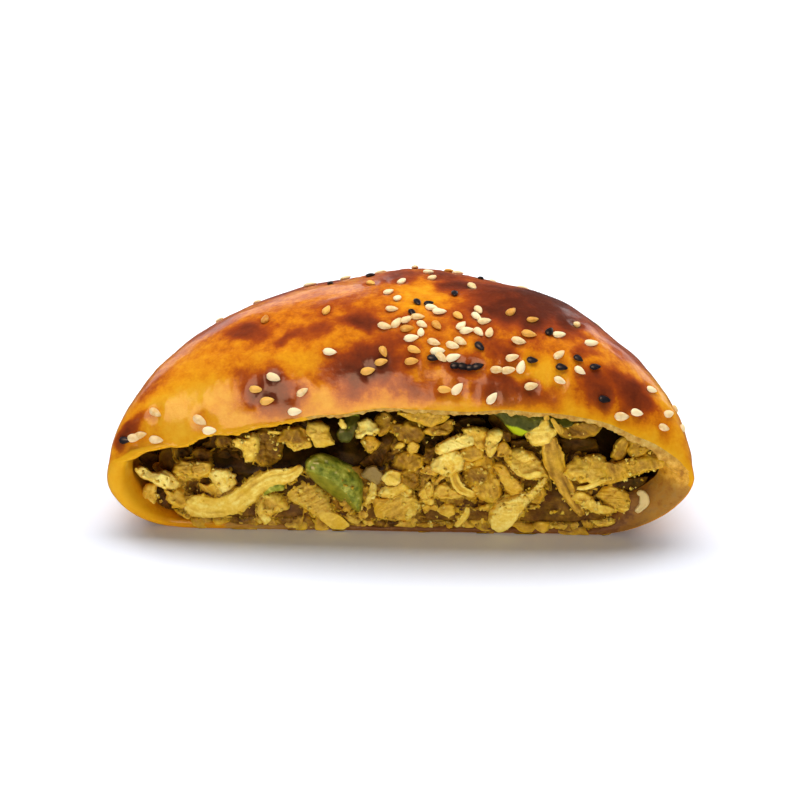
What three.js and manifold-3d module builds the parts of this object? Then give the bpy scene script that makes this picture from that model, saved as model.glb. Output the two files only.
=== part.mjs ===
// One half of an oval stuffed chicken pie, cut straight across: a thin baked dough
// shell with sesame on its top, open all along the cut, round a loose filling of
// torn chicken with a few pieces of green pepper and onion.
// Millimetres. +X runs along the cut, +Y goes from the cut to the back, +Z is up,
// and the origin is the middle of the flat base.

import * as THREE from 'three';
import Module from 'manifold-3d';

const wasm = await Module();
wasm.setup();

// ---- Driving dimensions ----------------------------------------------------------

const HALF_WIDTH = 63.5; // half the length of the cut
const DEPTH = 72; // from the cut to the back
const CUT_Y = -DEPTH / 2;

const WIDEST_LEFT = 11; // height of the widest line at the left end of the cut
const WIDEST_RIGHT = 14.5; // and at the right end
const SIDE_BLEND = 18; // distance along X over which the left form turns into the right

const DOME_HEIGHT = 51; // the dome at x = 0, were it not drooping to the cut
const DOME_TILT = 0.07; // its rise for each millimetre to the right
const DOME_POWER = 1.94; // how late the dome starts to fall away from its middle
const FULL_LEFT = 2.4; // how steep the flanks are, left and right
const FULL_RIGHT = 1.8;

const CUT_CREST = 29.9; // highest point of the crust's edge in the cut
const CUT_CREST_X = 15;
const CUT_POWER_LEFT = 2.1; // how late the edge falls from there to each end
const CUT_POWER_RIGHT = 3;
const CUT_ROUND = 0.8; // how round it turns in at the ends
const DROOP_MIDDLE = 18; // depth over which the dome sags down to the cut
const DROOP_ENDS = 1.5; // and at the ends of the cut, where the dough stands firm

const FLAT_LEFT = 0.8; // share of the outline that rests flat: left, right and back
const FLAT_RIGHT = 0.66;
const FLAT_BACK = 0.8;
const HEEL_POWER = 1.8; // roundness between the flat base and the widest line

const WALL_TOP = 2; // dough thickness over the filling, at the sides and below
const WALL_SIDE = 3;
const WALL_BASE = 1.5;
const GAP = 0.35; // air between pieces that lie against each other

const TEAR_FIRM = 0.06; // how unevenly the cut edge is torn: at its firm ends and below,
const TEAR_SOFT = 0.16; // and how much more along its upper left
const LIP_BULGE = 0.25; // how far the dough swells out between the two edges of the cut

const SEED_LENGTH = 3.2; // sesame
const SEED_WIDTH = 1.9;
const SEED_PLUMPNESS = 0.7; // thickness as a share of the width
const SEED_UNEVEN = 0.08; // how much a seed's size differs, each way
const BLACK_SEED_LENGTH = 2.7; // nigella
const BLACK_SEED_WIDTH = 1.7;

const AROUND = 60; // steps round the shell
const ROWS = 15; // steps from the cut to the back, closer together near the cut
const ROW_CROWDING = 1.2;

// ---- Plain helpers -----------------------------------------------------------------

const { abs, cos, exp, hypot, max, min, PI, sin, sqrt } = Math;
const mix = (a, b, t) => a + (b - a) * t;
const clamp = (value, low, high) => min(max(value, low), high);

function ease(low, high, value) {
  const t = clamp((value - low) / (high - low), 0, 1);
  return t * t * (3 - 2 * t);
}

// A repeatable run of numbers from 0 to 1.
function draws(seed) {
  let state = seed >>> 0;
  return () => {
    state = (Math.imul(state, 1664525) + 1013904223) >>> 0;
    return state / 4294967296;
  };
}

// A closed skin over rings of equal count, from one end point to the other. Each
// ring turns clockwise as seen from the side of the last point.
function loft(first, rings, last) {
  const points = [first, ...rings.flat(), last];
  const count = rings[0].length;
  const end = points.length - 1;
  const at = (ring, step) => 1 + ring * count + (step % count);
  const index = [];
  for (let step = 0; step < count; step++) {
    index.push(0, at(0, step), at(0, step + 1));
    for (let ring = 1; ring < rings.length; ring++) {
      const [a, b] = [at(ring - 1, step), at(ring - 1, step + 1)];
      const [c, d] = [at(ring, step), at(ring, step + 1)];
      index.push(a, c, d, a, d, b);
    }
    index.push(at(rings.length - 1, step), end, at(rings.length - 1, step + 1));
  }
  const vertProperties = new Float32Array(points.flatMap((p) => p.toArray()));
  return new wasm.Manifold(
    new wasm.Mesh({ numProp: 3, vertProperties, triVerts: new Uint32Array(index) }),
  );
}

const around = (count, place) =>
  Array.from({ length: count }, (_, step) => place((2 * PI * step) / count));

function named(name, solid, color, roughness) {
  const { numProp, vertProperties, triVerts } = solid.getMesh();
  const geometry = new THREE.BufferGeometry();
  geometry.setAttribute('position', new THREE.BufferAttribute(vertProperties, numProp));
  geometry.setIndex(new THREE.BufferAttribute(triVerts, 1));
  const material = new THREE.MeshStandardMaterial({ color, roughness, metalness: 0 });
  const mesh = new THREE.Mesh(geometry, material);
  mesh.name = name;
  return mesh;
}

// ---- The outer form ------------------------------------------------------------------

// 0 at the left end, 1 at the right.
const rightness = (x) => 1 / (1 + exp(-x / SIDE_BLEND));
const widestHeight = (x) => mix(WIDEST_LEFT, WIDEST_RIGHT, rightness(x));
const outward = (x, depth) => min(1, hypot(x / HALF_WIDTH, depth / DEPTH));

// Low swells that baking leaves on the top: x, depth, radius, height.
const SWELLS = [
  [3, 50, 10, 1.6],
  [-14, 48, 8, -0.6],
  [36, 38, 7, 0.8],
  [47, 31, 7, -0.7],
  [27, 33, 9, 0.6],
  [-9, 24, 8, 0.8],
  [-34, 30, 11, 0.5],
  [21, 14, 7, 0.5],
  [-27, 9, 8, 0.5],
  [43, 9, 7, 0.5],
  [-2, 9, 6, 0.5],
  [10, 29, 7, -0.5],
  [-20, 56, 10, 0.8],
  [22, 60, 8, 0.7],
  [-48, 14, 7, -0.4],
];

function swell(x, depth) {
  let height = 0;
  for (const [atX, atDepth, radius, rise] of SWELLS) {
    height += rise * exp(-(((x - atX) / radius) ** 2) - ((depth - atDepth) / radius) ** 2);
  }
  return height * (1 - outward(x, depth) ** 8);
}

// Height of the crust's edge in the cut, from 0 at the ends to 1 at its crest.
function edgeArch(x) {
  const left = x < CUT_CREST_X;
  const end = left ? -HALF_WIDTH : HALF_WIDTH;
  const away = clamp((x - CUT_CREST_X) / (end - CUT_CREST_X), 0, 1);
  return (1 - away ** (left ? CUT_POWER_LEFT : CUT_POWER_RIGHT)) ** CUT_ROUND;
}

function topHeight(x, depth) {
  const low = widestHeight(x);
  const span = sqrt(max(0, 1 - (depth / DEPTH) ** 2));
  const fullness = mix(FULL_LEFT, FULL_RIGHT, rightness(x));
  const fall = (1 - outward(x, depth) ** DOME_POWER) ** (1 / fullness);
  const dome = (DOME_HEIGHT + DOME_TILT * x - low) * fall;
  const across = span > 0 ? clamp(x / span, -HALF_WIDTH, HALF_WIDTH) : 0;
  const edge = (CUT_CREST - low) * edgeArch(across) * span;
  const droop = mix(DROOP_MIDDLE, DROOP_ENDS, (across / HALF_WIDTH) ** 2);
  return low + mix(dome, edge, exp(-depth / droop)) + swell(x, depth);
}

function bottomHeight(x, depth) {
  const sides = mix(FLAT_LEFT, FLAT_RIGHT, rightness(x));
  const flat = mix(sides, FLAT_BACK, (depth / DEPTH) ** 2);
  const away = max(0, (outward(x, depth) - flat) / (1 - flat));
  return widestHeight(x) * (1 - (1 - away ** HEEL_POWER) ** (1 / HEEL_POWER));
}

// A point of the outer skin. angle goes from the left end over the top to the right
// end and back below; sweep goes from 0 at the cut to a quarter turn at the back.
function skin(angle, sweep) {
  const depth = DEPTH * sin(sweep);
  const x = -HALF_WIDTH * cos(angle) * cos(sweep);
  const height = sin(angle) > 0 ? topHeight(x, depth) : bottomHeight(x, depth);
  return new THREE.Vector3(x, CUT_Y + depth, height);
}

// A point of the dough's inner face, or of a face further in: the skin drawn in from
// the sides, the back, the top and the base.
function inside(angle, sweep, further) {
  const { x, y, z } = skin(angle, sweep);
  const depth = y - CUT_Y;
  const side = WALL_SIDE + further;
  const base = WALL_BASE + further;
  const crest = topHeight(0, depth);
  const height = base + (z / crest) * (crest - WALL_TOP - further - base);
  return new THREE.Vector3(
    x * (1 - side / HALF_WIDTH),
    CUT_Y + depth * (1 - side / DEPTH),
    height,
  );
}

// A quarter turn, split into rows. Inside, about every other row is enough.
const sweepAt = (row) => 0.5 * PI * (row / ROWS) ** ROW_CROWDING;
const INNER_ROWS = [1, 3, 5, 7, 9, 13];
const backPoint = (below) => new THREE.Vector3(0, CUT_Y + DEPTH - below, widestHeight(0));

// ---- Crust: one shell, torn a little along the cut, with the seeds baked onto it ------

// How far the cut edge stands back from the plane of the cut: crumb pulls out more
// along the upper left edge than at the firm ends and below.
function tear(angle) {
  const upperLeft = max(0, sin(angle)) * ease(0.9, 0.1, angle / PI - 0.15);
  const crumb = sin(9 * angle + 1) + 0.7 * sin(17 * angle) + 0.5 * sin(29 * angle + 2);
  return (TEAR_FIRM + TEAR_SOFT * upperLeft) * (crumb + 1.5);
}

function shell() {
  const rings = [];
  for (let row = ROWS - 1; row > 0; row--) {
    rings.push(around(AROUND, (angle) => skin(angle, sweepAt(row))));
  }
  const lip = (angle) => tear(angle) / DEPTH;
  rings.push(around(AROUND, (angle) => skin(angle, lip(angle))));
  rings.push(
    around(AROUND, (angle) => {
      const middle = skin(angle, lip(angle)).lerp(inside(angle, lip(angle), 0), 0.5);
      middle.y -= LIP_BULGE;
      return middle;
    }),
  );
  rings.push(around(AROUND, (angle) => inside(angle, lip(angle) * 1.5, 0)));
  for (const row of INNER_ROWS) {
    rings.push(around(AROUND, (angle) => inside(angle, sweepAt(row), 0)));
  }
  return loft(backPoint(0), rings, backPoint(WALL_SIDE));
}

// Seeds lie where the hand dropped them: x, depth and turn in degrees of each, first
// those on the side towards the cut, from the left end to the right, then those behind.
const SESAME = [
  [-57.2, 2.4, 15], [-55.8, 2.5, 20], [-52.7, 5, -45], [-52.3, 1.5, -10],
  [-42.8, 2.5, -50], [-40.6, 0.9, 0], [-27.1, 7, -30], [-22.2, 1.2, 5],
  [-20.7, 4, 45], [-15.2, 11.3, -10], [-3.6, 16.6, -15], [-3.2, 29.8, 50],
  [-2.2, 22, 5], [-1.1, 26.6, 70], [-1, 17.5, 60], [-0.5, 36.5, 60],
  [1.1, 18.5, 45], [2.3, 13.2, 10], [3.5, 19.4, 0], [4.3, 14.8, 90],
  [4.5, 17, -45], [5.4, 43.2, 45], [6.3, 39, 60], [6.5, 22.8, -20],
  [7.2, 12.2, -20], [8, 10.2, 0], [8.2, 21.3, 10], [8.8, 8.9, -50],
  [11.2, 11.4, -25], [11.4, 8.8, 20], [12.4, 3.2, 60], [12.9, 12.3, -40],
  [13, 16.5, 60], [14.2, 15, 0], [15.3, 34.3, -65], [16.3, 19.3, -50],
  [16.7, 21.8, -70], [16.8, 14.5, -55], [18, 17.7, 20], [19.1, 14.3, 80],
  [19.8, 1.8, 60], [20.8, 6.4, -5], [23.2, 6.4, 15], [24, 8.8, 20],
  [25.4, 12.6, -5], [25.9, 7.1, 80], [28.1, 3.9, 20], [34.1, 10.4, 50],
  [34.2, 5.2, -30], [34.2, 16, 20], [38.3, 22.2, 70], [38.5, 7.4, -40],
  [41.2, 15.5, 20], [47.4, 1.5, 5], [50.7, 2.8, -10], [54.2, 9, 15],
  [56.6, 2.5, -10], [57.8, 5.7, 35], [59.6, 12, 80], [61, 6.7, 70],
  [-42, 38, -40], [-34, 46, 75], [-30, 56, 10], [-22, 47, -10],
  [-14, 52, 40], [-12, 62, 100], [-6, 53, -20], [-2, 60, 60],
  [2, 50, 110], [5, 65, 20], [8, 56, 0], [12, 48, 30],
  [14, 68, 85], [15, 60, -50], [20, 52, 70], [22, 64, -30],
  [27, 46, 15], [30, 56, -70], [38, 48, 55], [44, 40, -15],
];
const TOASTED_SESAME = [
  [-30.8, 5.4, -12], [-30.2, 23.8, 80], [-28.3, 3.3, 10], [-16.6, 23.7, 70],
  [-7.4, 36.7, -60], [-6.8, 6.6, 15], [-4, 8, 10], [-3.6, 10.1, -70],
  [1.3, 15.8, 10], [2.5, 8, 5], [3, 10.4, -25], [7.7, 16.7, -60],
  [9.7, 3.1, 0], [12.3, 19.7, -55], [23.8, 21.7, 60], [27.6, 14.8, -10],
  [28.5, 19.7, 20], [-18, 58, 60], [10, 50, -60], [25, 58, 20],
];
const NIGELLA = [
  [-59.3, 2.5, -5], [-17, 43.3, -70], [2.3, 20.8, -60], [3.3, 25, -65],
  [5.8, 24.7, 20], [7, 8.7, -15], [11.4, 30, -85], [12, 7.2, 10],
  [13.7, 7, -10], [15.2, 6.8, 0], [16.6, 7, 15], [17, 11, -55],
  [17.2, 45, 85], [28.3, 8.6, -8], [32.1, 16.5, 70], [34.6, 7.7, -15],
  [38.2, 10, -35], [41.8, 8.7, 5], [43.7, 3.2, -10], [-8, 47, 30],
  [0, 69, 10], [18, 56, -45], [34, 50, 80],
];

function surfaceNormal(x, depth) {
  const step = 0.2;
  const alongX = (topHeight(x + step, depth) - topHeight(x - step, depth)) / (2 * step);
  const alongY = (topHeight(x, depth + step) - topHeight(x, depth - step)) / (2 * step);
  return new THREE.Vector3(-alongX, -alongY, 1).normalize();
}

// One teardrop baked halfway into the crust.
function seed(x, depth, turn, length, width) {
  const thickness = width * SEED_PLUMPNESS;
  const normal = surfaceNormal(x, depth);
  const long = new THREE.Vector3(cos(turn), sin(turn), 0).projectOnPlane(normal).normalize();
  const wide = long.clone().cross(normal);
  const centre = new THREE.Vector3(x, CUT_Y + depth, topHeight(x, depth));
  const tip = (along) => centre.clone().addScaledVector(long, along * length);
  const ring = (along) =>
    around(6, (angle) =>
      tip(along)
        .addScaledVector(wide, 0.5 * width * cos(angle))
        .addScaledVector(normal, 0.5 * thickness * sin(angle)),
    );
  return loft(tip(-0.5), [ring(-0.12)], tip(0.5));
}

const seedDraws = draws(11);

function strewn(places, length, width) {
  return places.map(([x, depth, degrees]) => {
    const size = mix(1 - SEED_UNEVEN, 1 + SEED_UNEVEN, seedDraws());
    return seed(x, depth, (degrees * PI) / 180, length * size, width * size);
  });
}

let crust = shell();
for (const grain of [
  ...strewn(SESAME, SEED_LENGTH, SEED_WIDTH),
  ...strewn(TOASTED_SESAME, SEED_LENGTH, SEED_WIDTH),
  ...strewn(NIGELLA, BLACK_SEED_LENGTH, BLACK_SEED_WIDTH),
]) {
  crust = crust.add(grain);
}

// ---- The room inside the crust ---------------------------------------------------------

// Everything inside keeps within this, and stands past the cut by this little at most.
const PAST_CUT = 0.7;

function room() {
  const rings = [];
  for (const row of INNER_ROWS.toReversed()) {
    rings.push(around(AROUND, (angle) => inside(angle, sweepAt(row), GAP)));
  }
  const rim = around(AROUND, (angle) => inside(angle, 0, GAP));
  rings.push(rim.map((point) => point.clone().setY(CUT_Y)));
  rings.push(rim.map((point) => point.clone().setY(CUT_Y - PAST_CUT)));
  const middle = new THREE.Vector3(0, CUT_Y - PAST_CUT, widestHeight(0));
  return loft(backPoint(WALL_SIDE + GAP), rings, middle);
}

const cavity = room();

// ---- Strips: what every torn or cut piece is made from -----------------------------------

// Towards the open side and a little up, as most pieces lie.
const OPEN_SIDE = new THREE.Vector3(0, -0.89, 0.45);
const place = ([x, z, depth]) => new THREE.Vector3(x, CUT_Y + depth, z);

// A strip along a curve through the given places. Its sections are ovals of the given
// width and thickness, flat towards facing, blunt at both ends and a little uneven.
function strip(places, width, thickness, options = {}) {
  const { facing = OPEN_SIDE, sides = 5, stations = 4, uneven = 0.2, taper = 1 } = options;
  const random = options.random ?? (() => 0.5);
  const curve = new THREE.CatmullRomCurve3(places.map(place));
  const rings = [];
  for (let i = 0; i < stations; i++) {
    const along = (i + 0.4) / (stations - 0.2);
    const tangent = curve.getTangent(along);
    const wide = tangent.clone().cross(facing).normalize();
    const thick = wide.clone().cross(tangent);
    const blunt = (1 - abs(2 * along - 1) ** 3.5) ** 0.5;
    const size = 0.5 * blunt * mix(1, taper, along) * mix(1 - uneven, 1 + uneven, random());
    rings.push(
      around(sides, (angle) => {
        const ragged = size * mix(1 - uneven, 1 + uneven, random());
        return curve
          .getPoint(along)
          .addScaledVector(wide, ragged * width * cos(angle))
          .addScaledVector(thick, ragged * thickness * sin(angle));
      }),
    );
  }
  return loft(curve.getPoint(0), rings, curve.getPoint(1));
}

// ---- Green pepper and onion ----------------------------------------------------------------

// Each cut piece: name, colour, the places it runs through (x, height, depth), width,
// thickness and the way its flat side faces.
const PIECES = [
  {
    name: 'green_pepper_wedge',
    color: 0x4e6a14,
    places: [[-20.5, 16.6, 3.6], [-15.8, 13.6, 2.6], [-11, 8.6, 2.2], [-8, 3.9, 2.8]],
    width: 7,
    thickness: 3.4,
    facing: new THREE.Vector3(0.5, -0.66, 0.56),
    stations: 7,
  },
  {
    name: 'green_pepper_strip',
    color: 0x37501a,
    places: [[-30.2, 7.3, 2.6], [-27.6, 8.9, 2], [-24.6, 9.5, 2.6]],
    width: 1.9,
    thickness: 2.2,
  },
  {
    name: 'green_pepper_chip',
    color: 0x2f4516,
    places: [[-9.4, 25.6, 5.4], [-10.2, 23.4, 4.4], [-10.6, 21.2, 4.6]],
    width: 2.7,
    thickness: 1.8,
  },
  {
    name: 'green_pepper_slice',
    color: 0x86a81c,
    places: [[19.6, 25, 2.6], [24.5, 23.6, 1.8], [29, 23.4, 3.6], [37, 24, 7]],
    width: 4.2,
    thickness: 2,
    facing: new THREE.Vector3(-0.1, -0.6, 0.8),
    stations: 7,
  },
  {
    name: 'onion_piece',
    color: 0xb09468,
    places: [[-7.8, 14.4, 2.8], [-5.6, 13.4, 2.2], [-3.4, 12.6, 2.8]],
    width: 3.6,
    thickness: 2.6,
  },
  {
    name: 'onion_crescent',
    color: 0xd8c090,
    places: [[52, 8.6, 3.6], [52.8, 6.6, 2.6], [51.6, 4.7, 2.8]],
    width: 2.4,
    thickness: 1.8,
  },
];

// grow widens a piece all round, to cut its bed in the filling.
function cutPiece(piece, grow) {
  const [start, ...rest] = piece.places;
  const end = rest[rest.length - 1];
  const reach = (from, towards) => {
    const away = place(from).sub(place(towards)).normalize().multiplyScalar(grow);
    return [from[0] + away.x, from[1] + away.z, from[2] + away.y];
  };
  const places = [
    reach(start, rest[0]),
    ...rest.slice(0, -1),
    reach(end, piece.places[piece.places.length - 2]),
  ];
  const { width, thickness, facing, stations = 5 } = piece;
  const options = { sides: 8, stations, uneven: 0 };
  if (facing) options.facing = facing;
  return strip(places, width + 2 * grow, thickness + 2 * grow, options);
}

// ---- Chicken filling --------------------------------------------------------------------------

// Pieces that show in the cut: start and end as x, height, depth, then width and
// thickness. They are listed from the left end to the right.
const CHICKEN = [
  [[-57, 14, 4], [-47.5, 9.6, 5], 2.6, 3],
  [[-49, 13.6, 8], [-42.2, 12.4, 3.4], 3.8, 5],
  [[-57.4, 5.4, 7], [-53.6, 5.8, 1.8], 3.4, 4],
  [[-46.6, 5.2, 6], [-51, 7.6, 2.2], 4.6, 5],
  [[-41.5, 11.6, 7.5], [-35, 9.4, 2.6], 4.8, 4.6],
  [[-34.8, 20.4, 7], [-32.4, 15.8, 2], 4.8, 4.2],
  [[-31, 20, 9], [-28.2, 17.4, 5], 3.4, 4],
  [[-26.4, 20.4, 8], [-19.4, 22, 3], 5.4, 5],
  [[-18.6, 23.4, 8], [-16.2, 19.4, 2.4], 4.4, 4.4],
  [[-28.4, 6.8, 3], [-26.8, 3.4, 2], 6, 4],
  [[-24.6, 10.8, 6], [-13.6, 1.8, 2], 6.4, 4],
  [[-7.6, 24.8, 6], [-6.6, 21.6, 2.4], 4.8, 4.6],
  [[-4, 25.2, 9], [-3, 21, 6], 3.6, 5],
  [[-3.8, 11.6, 5], [2.8, 4.4, 1.8], 9, 6],
  [[-9, 3.4, 5], [-6.4, 3.4, 1.4], 4, 3.4],
  [[2, 24.6, 8], [2.2, 18, 4], 5, 6],
  [[-0.4, 17, 7], [3.6, 12, 3], 6.6, 6],
  [[1.8, 25.8, 6], [9.8, 26, 4], 3.6, 4],
  [[3.4, 10, 6], [8.2, 9.2, 2], 4.6, 5],
  [[8, 19.8, 4], [16.2, 22.6, 3.4], 3.6, 5],
  [[6.6, 15, 3], [13.4, 17.6, 5], 4.6, 6],
  [[14, 20.4, 6], [18, 16.4, 2.4], 4.6, 6],
  [[14, 22.4, 8], [18.4, 23.8, 4], 4.4, 5],
  [[20.2, 23.6, 5], [21, 18.8, 2.6], 4.8, 6],
  [[22.8, 18.4, 5], [31, 15, 2], 6, 5],
  [[14.2, 14, 4.6], [21.8, 9.4, 2.4], 8.6, 6],
  [[12, 15, 4.6], [16.6, 6.2, 1.8], 2.4, 3],
  [[22, 16.8, 5.4], [25.6, 8.4, 2.4], 3.4, 5],
  [[31.8, 14, 5.4], [20.2, 2.8, 1.2], 5.8, 3],
  [[7.4, 9.6, 6], [12.8, 9, 1.8], 3.6, 5],
  [[4.6, 4.4, 5], [12.2, 4, 1.4], 5, 4.6],
  [[15.2, 3.2, 6], [19.6, 3.2, 1], 3.4, 3.4],
  [[27.2, 22.4, 6], [33.6, 23.2, 2.4], 5.2, 5],
  [[32.2, 22.8, 5], [40.6, 3.8, 2.2], 3.8, 3.4],
  [[35.4, 23.4, 9], [43, 23.2, 6], 3.4, 4],
  [[35.2, 13.2, 2.6], [57.4, 18.2, 6], 5.6, 4.6],
  [[37.4, 10.4, 5], [44.8, 13.4, 2.2], 2.4, 4],
  [[45.8, 19.6, 9], [53, 19.4, 5], 5, 5],
  [[38.4, 8.4, 5.6], [46.6, 5.2, 2.6], 3.8, 5],
  [[43.8, 8.8, 8], [51.6, 5.8, 4], 5, 5],
  [[57.4, 15.8, 8], [60.4, 13.6, 3.6], 3.6, 4],
  [[26.8, 3, 3.4], [38, 3, 0.9], 4, 4.4],
  [[-46, 16.6, 11], [-39, 18.4, 7], 3.6, 4],
  [[-38.6, 3.4, 5], [-31.6, 3.2, 0.9], 4.2, 4],
  [[-14, 22.4, 11], [-11.6, 17, 7], 4, 4],
];
// The one long curled strip that lies across the left half.
const LONG_STRIP = {
  places: [
    [-47.4, 6.2, 5], [-43.5, 3.8, 2.2], [-37.4, 4.6, 1.4], [-32, 8.8, 1.2],
    [-27, 12.4, 1.8], [-20, 14.8, 3.6],
  ],
  width: 4.8,
  thickness: 3,
};

// Depth of the packed mass behind the pieces: its foot stands close to the cut, and
// it falls back under the crust and towards both ends.
const MASS_FOOT = 0.9;
const MASS_DEPTH = 5;
const MASS_UNDER_CRUST = 12;
const MASS_AT_ENDS = 14;
const MASS_LUMPS = 0.5;
const MASS_SLACK = 0.4; // what it keeps clear of the room's own walls
const MASS_AROUND = AROUND / 2;

// Dark hollows between the pieces: x, height, radius, depth.
const HOLLOWS = [
  [-21.5, 19, 5, 7],
  [-4.5, 18.5, 5, 8],
  [-10, 27, 8, 8],
  [20, 27, 4, 5],
  [46.5, 21.5, 5, 8],
];

function massDepth(x, height) {
  const face = mix(MASS_FOOT, MASS_DEPTH, ease(2, 8, height));
  const underCrust = MASS_UNDER_CRUST * ease(0.45, 0.85, height / topHeight(x, 0));
  const atEnds = MASS_AT_ENDS * ease(0.66, 0.92, abs(x) / HALF_WIDTH);
  const lumps = sin(0.55 * x + 0.3 * height) + sin(0.5 * height - 0.21 * x + 1);
  let hollow = 0;
  for (const [atX, atHeight, radius, depth] of HOLLOWS) {
    hollow += depth * exp(-(((x - atX) / radius) ** 2) - ((height - atHeight) / radius) ** 2);
  }
  return face + underCrust + atEnds + MASS_LUMPS * lumps + hollow;
}

function mass() {
  const rings = [];
  for (const row of INNER_ROWS.slice(-3).toReversed()) {
    rings.push(around(MASS_AROUND, (angle) => inside(angle, sweepAt(row), GAP + MASS_SLACK)));
  }
  const rim = around(MASS_AROUND, (angle) => {
    const near = inside(angle, 0, GAP + MASS_SLACK);
    const depth = massDepth(near.x, near.z);
    return inside(angle, Math.asin(depth / DEPTH), GAP + MASS_SLACK);
  });
  rings.push(rim);
  const centre = new THREE.Vector3(0, 0, widestHeight(0));
  for (const share of [0.82, 0.6, 0.38, 0.16]) {
    rings.push(
      rim.map((point) => {
        const lump = centre.clone().lerp(point, share);
        return lump.setY(CUT_Y + massDepth(lump.x, lump.z));
      }),
    );
  }
  centre.y = CUT_Y + massDepth(centre.x, centre.z);
  return loft(backPoint(WALL_SIDE + GAP + MASS_SLACK), rings, centre);
}

// Each piece starts with the end by which it runs back into the mass.
const ROOT = 2;
const ROOT_INWARD = 0.93;

function rooted(places) {
  const [x, height, depth] = places[0];
  return [[x * ROOT_INWARD, height, max(depth, massDepth(x, height)) + ROOT], ...places];
}

const tornDraws = draws(5);
let filling = mass();
for (const [start, end, width, thickness] of CHICKEN) {
  filling = filling.add(strip(rooted([start, end]), width, thickness, { random: tornDraws }));
}
filling = filling.add(
  strip(rooted(LONG_STRIP.places), LONG_STRIP.width, LONG_STRIP.thickness, {
    stations: 10,
    taper: 0.5,
    random: tornDraws,
  }),
);
filling = filling.intersect(cavity);
for (const piece of PIECES) {
  filling = filling.subtract(cutPiece(piece, GAP));
}
// Scraps that a bed cuts off are dropped, and hollows sealed by the pieces are filled.
filling = filling.decompose().sort((a, b) => b.volume() - a.volume())[0];

// ---- The whole ------------------------------------------------------------------------------------

const pie = new THREE.Group();
pie.add(named('crust', crust, 0xd9861c, 0.35));
pie.add(named('chicken_filling', filling, 0xb8943a, 0.6));
for (const piece of PIECES) {
  pie.add(named(piece.name, cutPiece(piece, 0).intersect(cavity), piece.color, 0.4));
}

export default pie;
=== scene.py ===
# Half of an oval stuffed chicken pie, cut across: a glazed, seeded dough shell round
# a loose filling of torn chicken with a little green pepper and onion.
# Sizes are millimetres and are turned to metres where a mesh is made.

import math

import bpy
import numpy as np
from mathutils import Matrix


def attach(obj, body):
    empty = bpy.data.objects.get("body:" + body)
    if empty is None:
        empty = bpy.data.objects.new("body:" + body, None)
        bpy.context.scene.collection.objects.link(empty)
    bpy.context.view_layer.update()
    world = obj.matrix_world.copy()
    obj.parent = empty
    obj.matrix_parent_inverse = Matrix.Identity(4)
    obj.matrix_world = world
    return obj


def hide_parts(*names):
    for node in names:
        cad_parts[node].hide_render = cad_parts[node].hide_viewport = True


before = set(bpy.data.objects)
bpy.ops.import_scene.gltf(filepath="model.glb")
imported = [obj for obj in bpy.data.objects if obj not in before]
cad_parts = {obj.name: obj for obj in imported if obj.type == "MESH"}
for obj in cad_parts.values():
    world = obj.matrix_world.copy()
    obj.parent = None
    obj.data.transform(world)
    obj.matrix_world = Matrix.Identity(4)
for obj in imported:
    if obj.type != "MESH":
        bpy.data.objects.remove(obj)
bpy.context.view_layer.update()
bpy.ops.object.select_all(action="DESELECT")

# ---- Crust -------------------------------------------------------------------------
# Yeast dough rolled thin, closed round the filling, brushed with egg and baked: a thin
# shell, domed on top and flat below, drooping a little towards the cut.

HALF_WIDTH = 63.5
DEPTH = 72
CUT_Y = -DEPTH / 2
WIDEST_LEFT, WIDEST_RIGHT = 11, 14.5
SIDE_BLEND = 18
DOME_HEIGHT, DOME_TILT, DOME_POWER = 51, 0.07, 1.94
FULL_LEFT, FULL_RIGHT = 2.4, 1.8
CUT_CREST, CUT_CREST_X = 29.9, 15
CUT_POWER_LEFT, CUT_POWER_RIGHT, CUT_ROUND = 2.1, 3, 0.8
DROOP_MIDDLE, DROOP_ENDS = 18, 1.5
FLAT_LEFT, FLAT_RIGHT, FLAT_BACK = 0.8, 0.66, 0.8
HEEL_POWER = 1.8
WALL_TOP, WALL_SIDE, WALL_BASE = 2, 3, 1.5

# Low swells on the top: x, depth, radius, height.
SWELLS = [
    (3, 50, 10, 1.6), (-14, 48, 8, -0.6), (36, 38, 7, 0.8), (47, 31, 7, -0.7),
    (27, 33, 9, 0.6), (-9, 24, 8, 0.8), (-34, 30, 11, 0.5), (21, 14, 7, 0.5),
    (-27, 9, 8, 0.5), (43, 9, 7, 0.5), (-2, 9, 6, 0.5), (10, 29, 7, -0.5),
    (-20, 56, 10, 0.8), (22, 60, 8, 0.7), (-48, 14, 7, -0.4),
]


def mix(a, b, share):
    return a + (b - a) * share


def ease(low, high, value):
    share = np.clip((value - low) / (high - low), 0, 1)
    return share * share * (3 - 2 * share)


def rightness(x):
    return 1 / (1 + np.exp(-x / SIDE_BLEND))


def widest_height(x):
    return mix(WIDEST_LEFT, WIDEST_RIGHT, rightness(x))


def outward(x, depth):
    return np.minimum(1, np.hypot(x / HALF_WIDTH, depth / DEPTH))


def swell(x, depth):
    height = 0
    for at_x, at_depth, radius, rise in SWELLS:
        away = ((x - at_x) / radius) ** 2 + ((depth - at_depth) / radius) ** 2
        height = height + rise * np.exp(-away)
    return height * (1 - outward(x, depth) ** 8)


def edge_arch(x):
    left = x < CUT_CREST_X
    end = np.where(left, -HALF_WIDTH, HALF_WIDTH)
    away = np.clip((x - CUT_CREST_X) / (end - CUT_CREST_X), 0, 1)
    return (1 - away ** np.where(left, CUT_POWER_LEFT, CUT_POWER_RIGHT)) ** CUT_ROUND


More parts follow.
